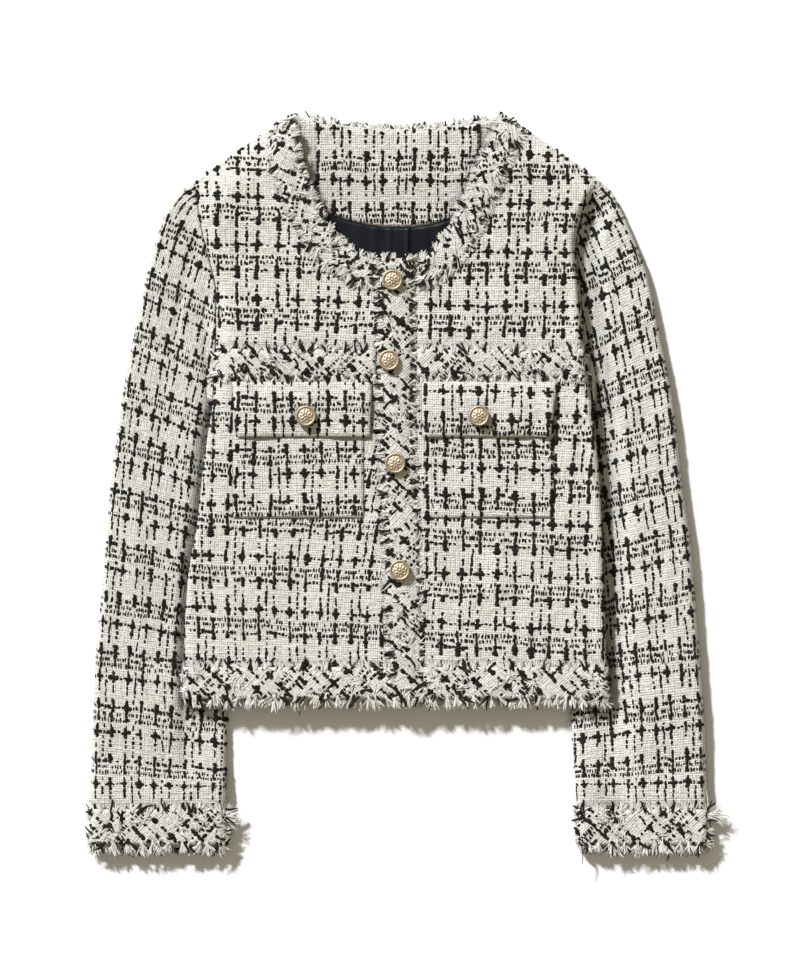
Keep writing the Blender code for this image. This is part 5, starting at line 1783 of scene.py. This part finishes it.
def make_chest_strip(side):
    y = np.linspace(*CHEST_CORE, 8)[:, None]
    edge = edge_x(side, y) - FOLD_REACH + FOLD_REACH * math.sin(math.radians(55.0))
    x = mix(CHEST_START[side], edge, np.linspace(0.0, 1.0, 44)[None])
    y = y + 0.0006 * np.sin(x * 95.0)
    z = front_height(side, x, y) + SEAT
    sign = outward(side)
    base = np.stack([sign * x, y, z], axis=-1)
    seed = 371 + 10 * SIDES.index(side)
    name = f"chest_trim_{side}"
    return make_strip(name, f"chest_{side}", base, sign, False, sign, seed, ends=(-1,))


# ------------------------------------------------------------------ cuff strips
CUFF_CORE = (0.0112, 0.0430)
CUFF_SEAT = 0.0004
SLEEVE_TOP_Z = 0.0145
SLEEVE_END_Z = SLEEVE_TOP_Z / 2.0
# Tufts at the cuffs' side folds: which way along X, rows of points, and their reach.
CUFF_TUFTS = {
    "right": (
        (1.0, (4, 9), 0.0125),
        (1.0, (0, 5), 0.0048),
        (-1.0, (5, 9), 0.0050),
        (-1.0, (0, 4), 0.0060),
    ),
    "left": (
        (1.0, (5, 9), 0.0165),
        (1.0, (0, 5), 0.0060),
        (-1.0, (5, 9), 0.0060),
        (-1.0, (0, 4), 0.0050),
    ),
}


def make_cuff_strip(side):
    column, sign = side_column(side), outward(side)
    by_y = [(row[0], row[column], row[3 + column]) for row in SLEEVE_ROWS[-3:]]
    near = RING_REACH * (1.0 - np.cos(np.linspace(0.0, 0.5 * np.pi, 6)))
    rows = []
    for y in np.linspace(*CUFF_CORE, 9):
        outer = float(read(by_y, y, 1)) + SEAM + CUFF_SEAT
        inner = float(read(by_y, y, 2)) + SEAM - CUFF_SEAT
        width = outer - inner
        between = np.linspace(near[-1], width - near[-1], 34)[1:-1]
        stops = np.concatenate([near, between, (width - near)[::-1]])
        turn = quarter_round(np.minimum(stops, width - stops) / RING_REACH)
        down = CUFF_DOWN * (1.0 - ease(y, *CUFF_DOWN_Y))
        middle = SLEEVE_END_Z + TRIM_LIFT - 0.5 * down
        high = mix(middle, SLEEVE_TOP_Z + TRIM_LIFT + CUFF_SEAT - down, turn)
        low = mix(middle, TRIM_LIFT - CUFF_SEAT, turn)
        x, y = sign * (outer - stops), np.full_like(stops, y)
        top, bottom = (np.stack([x, y, z], axis=1) for z in (high, low))
        rows.append(np.concatenate([bottom[::-1][:-1], top]))
    base = np.array(rows)
    last = base.shape[1] - 1
    outer_fold, inner_fold = last // 2 + 2, last - 2
    tufts = [
        (outer_fold if way == sign else inner_fold, span, way, far)
        for way, span, far in CUFF_TUFTS[side]
    ]
    seed = 391 + 10 * SIDES.index(side)
    name = f"cuff_trim_{side}"
    return make_strip(name, "cuff", base, -sign, False, -sign, seed, closed=True, tufts=tufts)


strips = {"front_edge_trim": make_front_strip(), "neck_trim_back": make_back_neck_strip()}
strips["hem_trim_back"] = make_back_hem_strip()
for side in SIDES:
    strips[f"neck_trim_{side}"] = make_neck_strip(side)
    strips[f"hem_trim_{side}"] = make_hem_strip(side)
    strips[f"chest_trim_{side}"] = make_chest_strip(side)
    strips[f"cuff_trim_{side}"] = make_cuff_strip(side)


# ------------------------------------------------------------------ pockets and flaps
# Where the check lies on them: place of a thin stripe along X, pitch of the stripes, y of a cross
# row, pitch of the rows and their slope.
POCKET_CHECK = {
    "right": (-0.1047, 0.0296, 0.3393, 0.0455, -0.01),
    "left": (0.0651, 0.0312, 0.3460, 0.0455, 0.035),
}
FLAP_CHECK = {
    "right": (-0.1012, 0.0313, 0.3840, 0.0455, 0.0),
    "left": (0.0475, 0.0305, 0.4118, 0.0455, 0.02),
}

FLAP_COVER_Y = 0.382  # above this the flap hides the pocket


def flat_layer(x, y, low, high, check=None):
    """A sheet between two heights over the same plan, with the check laid on it."""
    weave = (x, y)
    if check is not None:
        stripe, pitch, row, row_pitch, slope = check
        weave = ((x - stripe) / pitch * REPEAT_U, (y + slope * x - row) / row_pitch * REPEAT_V)
    outer, inner = (np.stack([x, y, z], axis=-1) for z in (high, low))
    return Cloth(outer, inner, np.stack(weave, axis=-1))


def make_pocket(side):
    start, end = POCKET_X[side]
    x, y = np.meshgrid(np.linspace(start, end, 34), np.linspace(*POCKET_Y, 32))
    rim = np.minimum(np.minimum(x - start, end - x), y - POCKET_Y[0])
    rim = soft_round(rim / 0.0060)
    low = front_height(side, x, y) + SEAT
    high = low + 0.0001 + 0.0004 * rim + soft_waves(x, y, 81, 0.05, 0.00020) * rim
    cloth = flat_layer(outward(side) * x, y, low, high, POCKET_CHECK[side])
    seed = 201 + SIDES.index(side)
    return add_panel(f"pocket_{side}", cloth, seed, lambda p: p[:, 1] < FLAP_COVER_Y)


def make_flap(side):
    bottom_y, top_y = FLAP_ROWS[0][0], FLAP_ROWS[-1][0]
    y = np.linspace(bottom_y, top_y, 16)[:, None]
    down = (top_y - y) / (top_y - bottom_y)
    start, end = (mix(a, b, down) for a, b in zip(FLAP_X[side], FLAP_BOTTOM_X[side]))
    share = np.linspace(0.0, 1.0, 38)[None]
    x = mix(start, end, share)
    lift = read(FLAP_ROWS, y)
    y = np.repeat(y, x.shape[1], axis=1)
    bow = 0.0014 * np.sin(share * 9.4 + SIDES.index(side)) * down**2
    low = front_height(side, x, y) + lift + np.maximum(bow, 0.0)
    low = low + FLAP_END_LIFT[side] * ease(share, 0.86, 1.0) * down
    rim = np.minimum(np.minimum(x - start, end - x), y - bottom_y)
    high = low + 0.0006 + 0.0008 * soft_round(rim / 0.005) + soft_waves(x, y, 83, 0.04, 0.0003)
    cloth = flat_layer(outward(side) * x, y, low, high, FLAP_CHECK[side])
    return add_panel(f"flap_{side}", cloth, 211 + SIDES.index(side))


pockets = {side: make_pocket(side) for side in SIDES}
flaps = {side: make_flap(side) for side in SIDES}

# ------------------------------------------------------------------ inside the neck
FACING_CHECK = (-0.0211, 0.02816, 0.5966, 0.0458, 0.0)
FACING_RIM = 0.003


def make_facing():
    x = np.linspace(-FACING_HALF, FACING_HALF, 44)
    rise = np.linspace(0.0, 1.0, 26)[:, None]
    y = mix(facing_bottom_y(x), back_neck_y(x) - 0.0006, rise)
    x = np.repeat(x[None], len(y), axis=0)
    low = back_level(x, y) + WALL + FACING_SEAT
    rim = np.minimum(y - facing_bottom_y(x), FACING_RIM)
    high = low + FACING_WALL * (0.6 + 0.4 * soft_round(rim / FACING_RIM))
    high = high + soft_waves(x, y, 91, 0.05, 0.0003)
    return add_panel("back_neck_facing", flat_layer(x, y, low, high, FACING_CHECK), 221)


LINING_FOLDS = (  # x, half width, height of each fold in the satin
    (-0.0335, 0.0060, 0.0007),
    (-0.0205, 0.0045, 0.0006),
    (-0.0078, 0.0016, 0.0012),
    (0.0088, 0.0016, 0.0013),
    (0.0235, 0.0050, 0.0007),
    (0.0380, 0.0055, 0.0006),
)


def make_lining():
    x = np.linspace(-LINING_HALF, LINING_HALF, 120)
    rise = np.linspace(0.0, 1.0, 24)[:, None]
    y = mix(LINING_BOTTOM_Y, facing_bottom_y(x)[None] - 2.0 * SEAM, rise)
    x = np.repeat(x[None], len(y), axis=0)
    low = back_level(x, y) + WALL + SEAT
    folds = np.zeros(x.shape)
    for middle, half, height in LINING_FOLDS:
        folds += height * np.exp(-(((x - middle - 0.03 * (y - 0.54)) / half) ** 2))
    folds += 0.0010 * (ease(x, -0.0085, -0.0070) - ease(x, 0.0080, 0.0095))
    folds += np.maximum(soft_waves(x, y, 93, 0.03, 0.0005), -0.0003) + 0.0003
    cloth = flat_layer(x, y, low, low + SATIN_WALL + folds)
    return seat_piece(cloth.build("back_lining_satin", SATIN), "lining", "back_lining")


facing = make_facing()
lining = make_lining()

# ------------------------------------------------------------------ buttons
BUTTON_NAMES = (*(f"button_{k}" for k in range(1, 5)), *(f"flap_button_{side}" for side in SIDES))
BUTTON_TURN = 96  # points round a button
BUTTON_RADIUS = 0.0090
BUTTON_RELIEF = 1.75
ROPE_TURNS = 30
ROPE_AT, ROPE_HALF = 0.885, 0.095  # in shares of the radius
PETALS = 8


def button_height(r, angle):
    """Height of a button's face: a rope round the rim, a groove and a flower of eight petals."""
    rope = np.clip(1.0 - np.abs(r - ROPE_AT) / ROPE_HALF, 0.0, 1.0)
    twist = 0.5 + 0.5 * np.cos(ROPE_TURNS * angle + 9.0 * (r - ROPE_AT) / ROPE_HALF)
    height = 0.00060 * np.sqrt(rope) + 0.00022 * rope * twist
    inside = np.clip(1.0 - r / 0.74, 0.0, 1.0)
    height = height + 0.00030 * np.sqrt(inside)
    wave = np.abs(np.cos(PETALS * 0.5 * angle))
    length = 0.42 + 0.24 * wave
    petal = np.clip(1.0 - (r / length) ** 4, 0.0, 1.0) * ease(r, 0.12, 0.26)
    height = height + 0.00055 * petal * (0.35 + 0.65 * wave**0.6)
    small = np.abs(np.sin(PETALS * 0.5 * angle))
    leaf = np.exp(-(((r - 0.62) / 0.07) ** 2)) * small**6
    height = height + 0.00038 * leaf
    seed = np.exp(-((r / 0.13) ** 4))
    height = height + 0.00062 * seed
    beads = np.exp(-(((r - 0.175) / 0.035) ** 2)) * (0.5 + 0.5 * np.cos(10.0 * angle))
    return height + 0.00025 * beads


def make_button(name):
    low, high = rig.box(name)
    middle = (low + high) / 2.0
    top = (high.z - low.z) - 0.0010
    radii = np.concatenate([np.linspace(0.0, 0.80, 26)[1:], np.linspace(0.80, 0.985, 11)[1:]])
    angle = 2.0 * np.pi * np.arange(BUTTON_TURN) / BUTTON_TURN
    r, a = np.meshgrid(radii, angle, indexing="ij")
    z = top - 0.0004 * r**2 + BUTTON_RELIEF * button_height(r, a + 0.2)
    side = ((1.0, top - 0.0007), (0.985, top - 0.0014), (0.90, 0.0009), (0.36, 0.0009), (0.36, 0.0))
    r = np.concatenate([r, np.repeat([[s[0]] for s in side], BUTTON_TURN, axis=1)])
    z = np.concatenate([z, np.repeat([[s[1]] for s in side], BUTTON_TURN, axis=1)])
    a = np.repeat(angle[None], len(r), axis=0)
    x, y = r * BUTTON_RADIUS * np.cos(a), r * BUTTON_RADIUS * np.sin(a)
    points = np.stack([x, y, z], axis=-1).reshape(-1, 3)
    crown_z = top + BUTTON_RELIEF * float(button_height(np.zeros(1), np.zeros(1))[0])
    points = np.concatenate([points, [[0.0, 0.0, crown_z], [0.0, 0.0, 0.0]]])
    rows = len(r)
    row, k = np.meshgrid(np.arange(rows - 1), np.arange(BUTTON_TURN), indexing="ij")
    ahead = (k + 1) % BUTTON_TURN
    a0, a1 = row * BUTTON_TURN + k, row * BUTTON_TURN + ahead
    b0, b1 = a0 + BUTTON_TURN, a1 + BUTTON_TURN
    walls = np.concatenate([
        np.stack([a0, b0, b1], axis=-1).reshape(-1, 3),
        np.stack([a0, b1, a1], axis=-1).reshape(-1, 3),
    ])
    k = np.arange(BUTTON_TURN)
    ahead = (k + 1) % BUTTON_TURN
    last = (rows - 1) * BUTTON_TURN
    crown_index, foot_index = rows * BUTTON_TURN, rows * BUTTON_TURN + 1
    cap = np.stack([np.full_like(k, crown_index), k, ahead], axis=1)
    heel = np.stack([last + k, np.full_like(k, foot_index), last + ahead], axis=1)
    faces = np.concatenate([walls, cap, heel])
    place = np.array([middle.x, middle.y, low.z]) - SHIFT
    piece = make_mesh(f"{name}_gold", points + place, faces, None, GOLD)
    return seat_piece(piece, "button", name)


buttons = [make_button(name) for name in BUTTON_NAMES]

# ------------------------------------------------------------------ stage
PIXEL = 0.00088  # one pixel of the 800 x 960 image, at the jacket
IMAGE = (800, 960)
IMAGE_ORIGIN = (398.0, 858.0)  # where the laid frame's origin lies in the image
AIM_Z = 0.014
LENS = 180.0
SENSOR = 36.0


def make_stage():
    floor = make_mesh(
        "floor",
        np.array([(-3.0, -3.0, 0.0), (3.0, -3.0, 0.0), (3.0, 3.0, 0.0), (-3.0, 3.0, 0.0)]) - SHIFT,
        np.array([(0, 1, 2, 3)]), None, floor_material(), False,
    )
    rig.stage(floor)
    camera = bpy.data.cameras.new("camera")
    camera.lens = LENS
    camera.sensor_width = SENSOR
    camera.clip_end = 50.0
    holder = bpy.data.objects.new("camera", camera)
    bpy.context.scene.collection.objects.link(holder)
    distance = LENS * IMAGE[1] * PIXEL / SENSOR
    x = (IMAGE[0] / 2.0 - IMAGE_ORIGIN[0]) * PIXEL + SHIFT[0]
    y = (IMAGE_ORIGIN[1] - IMAGE[1] / 2.0) * PIXEL + SHIFT[1]
    holder.location = (x, y, AIM_Z + distance)
    bpy.context.scene.camera = holder

    sun = bpy.data.lights.new("key", "SUN")
    sun.energy = 5.50
    sun.angle = math.radians(5.0)
    sun.color = (0.925, 0.945, 1.0)
    key = bpy.data.objects.new("key", sun)
    bpy.context.scene.collection.objects.link(key)
    key.rotation_euler = Vector((0.92, -1.32, -1.0)).to_track_quat("-Z", "Y").to_euler()

    world = bpy.data.worlds.new("studio")
    bpy.context.scene.world = world
    world.use_nodes = True
    tree = world.node_tree
    background = tree.nodes["Background"]
    place = tree.nodes.new("ShaderNodeTexCoord")
    split = tree.nodes.new("ShaderNodeSeparateXYZ")
    ramp = tree.nodes.new("ShaderNodeMapRange")
    blend = tree.nodes.new("ShaderNodeMix")
    blend.data_type = "RGBA"
    tree.links.new(place.outputs["Generated"], split.inputs[0])
    tree.links.new(split.outputs[2], ramp.inputs[0])
    tree.links.new(ramp.outputs[0], blend.inputs[0])
    blend.inputs[6].default_value = (0.168, 0.151, 0.117, 1.0)
    blend.inputs[7].default_value = (0.372, 0.334, 0.259, 1.0)
    tree.links.new(blend.outputs[2], background.inputs[0])
    background.inputs[1].default_value = 1.0
    bpy.context.scene.view_settings.view_transform = "Standard"
    bpy.context.scene.view_settings.look = "None"


make_stage()


# ------------------------------------------------------------------ flat sizes
# What each sheet was cut to, without seam allowances: width and length, and its area where it
# isn't a rectangle.
CUTS = {
    "front": {"right": ((0.200, 0.514), 0.0860), "left": ((0.200, 0.514), 0.0903)},
    "sleeve": {"right": ((0.300, 0.600), 0.1265), "left": ((0.300, 0.600), 0.1250)},
    "pocket": {"right": (0.115, 0.1045), "left": (0.1135, 0.1045)},
    "flap": {"right": ((0.123, 0.049), 0.0058), "left": ((0.1195, 0.049), 0.0056)},
}


def declare_sheets():
    """Tells the frame each sheet's flat size, how it is held and what it lies on."""
    back_piece, back_yarns = back
    on_back = {"held": "laid", "rests_on": [back_piece]}
    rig.sheet(
        back_piece, flat=(0.360, 0.516), area=0.1690, held="laid", rests_on=["floor"],
        with_pieces=back_yarns,
    )
    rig.sheet(lining, flat=(0.125, 0.066), area=0.0076, **on_back)
    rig.sheet(facing[0], flat=(0.145, 0.092), area=0.0118, with_pieces=facing[1], **on_back)
    under = {"back": [back_piece], "front": []}
    for side in SIDES:
        front, front_yarns = fronts[side]
        flat, area = CUTS["front"][side]
        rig.sheet(front, flat=flat, area=area, with_pieces=front_yarns, **on_back)
        sleeve, sleeve_yarns = sleeves[side]
        flat, area = CUTS["sleeve"][side]
        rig.sheet(
            sleeve, flat=flat, area=area, held="folded", rests_on=["floor"],
            with_pieces=sleeve_yarns,
        )
        pocket, pocket_yarns = pockets[side]
        flat = CUTS["pocket"][side]
        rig.sheet(pocket, flat=flat, held="laid", rests_on=[front], with_pieces=pocket_yarns)
        flap, flap_yarns = flaps[side]
        flat, area = CUTS["flap"][side]
        lies = {"held": "laid", "rests_on": [front, pocket]}
        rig.sheet(flap, flat=flat, area=area, with_pieces=flap_yarns, **lies)
        under["front"].append(front)
        under[f"front_{side}"], under[f"sleeve_{side}"] = [front], [sleeve]
    for name, wide, long, carrier in (
        ("front_edge_trim", 0.0276, 0.389, "front"),
        ("neck_trim_back", 0.0198, 0.164, "back"),
        ("hem_trim_back", 0.0282, 0.353, "back"),
        ("neck_trim_right", 0.0223, 0.165, "front_right"),
        ("neck_trim_left", 0.0223, 0.165, "front_left"),
        ("hem_trim_right", 0.0282, 0.198, "front_right"),
        ("hem_trim_left", 0.0282, 0.179, "front_left"),
        ("chest_trim_right", 0.0250, 0.141, "front_right"),
        ("chest_trim_left", 0.0250, 0.151, "front_left"),
        ("cuff_trim_right", 0.0318, 0.254, "sleeve_right"),
        ("cuff_trim_left", 0.0318, 0.246, "sleeve_left"),
    ):
        strip, frayed = strips[name]
        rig.sheet(
            strip, flat=(wide, long), held="laid", rests_on=under[carrier], with_pieces=frayed
        )


declare_sheets()

with open("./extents.json", "w") as size_file:
    json.dump({"cad": [list(c) for c in cad_box], "visual": [list(c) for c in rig.bounds()]}, size_file)
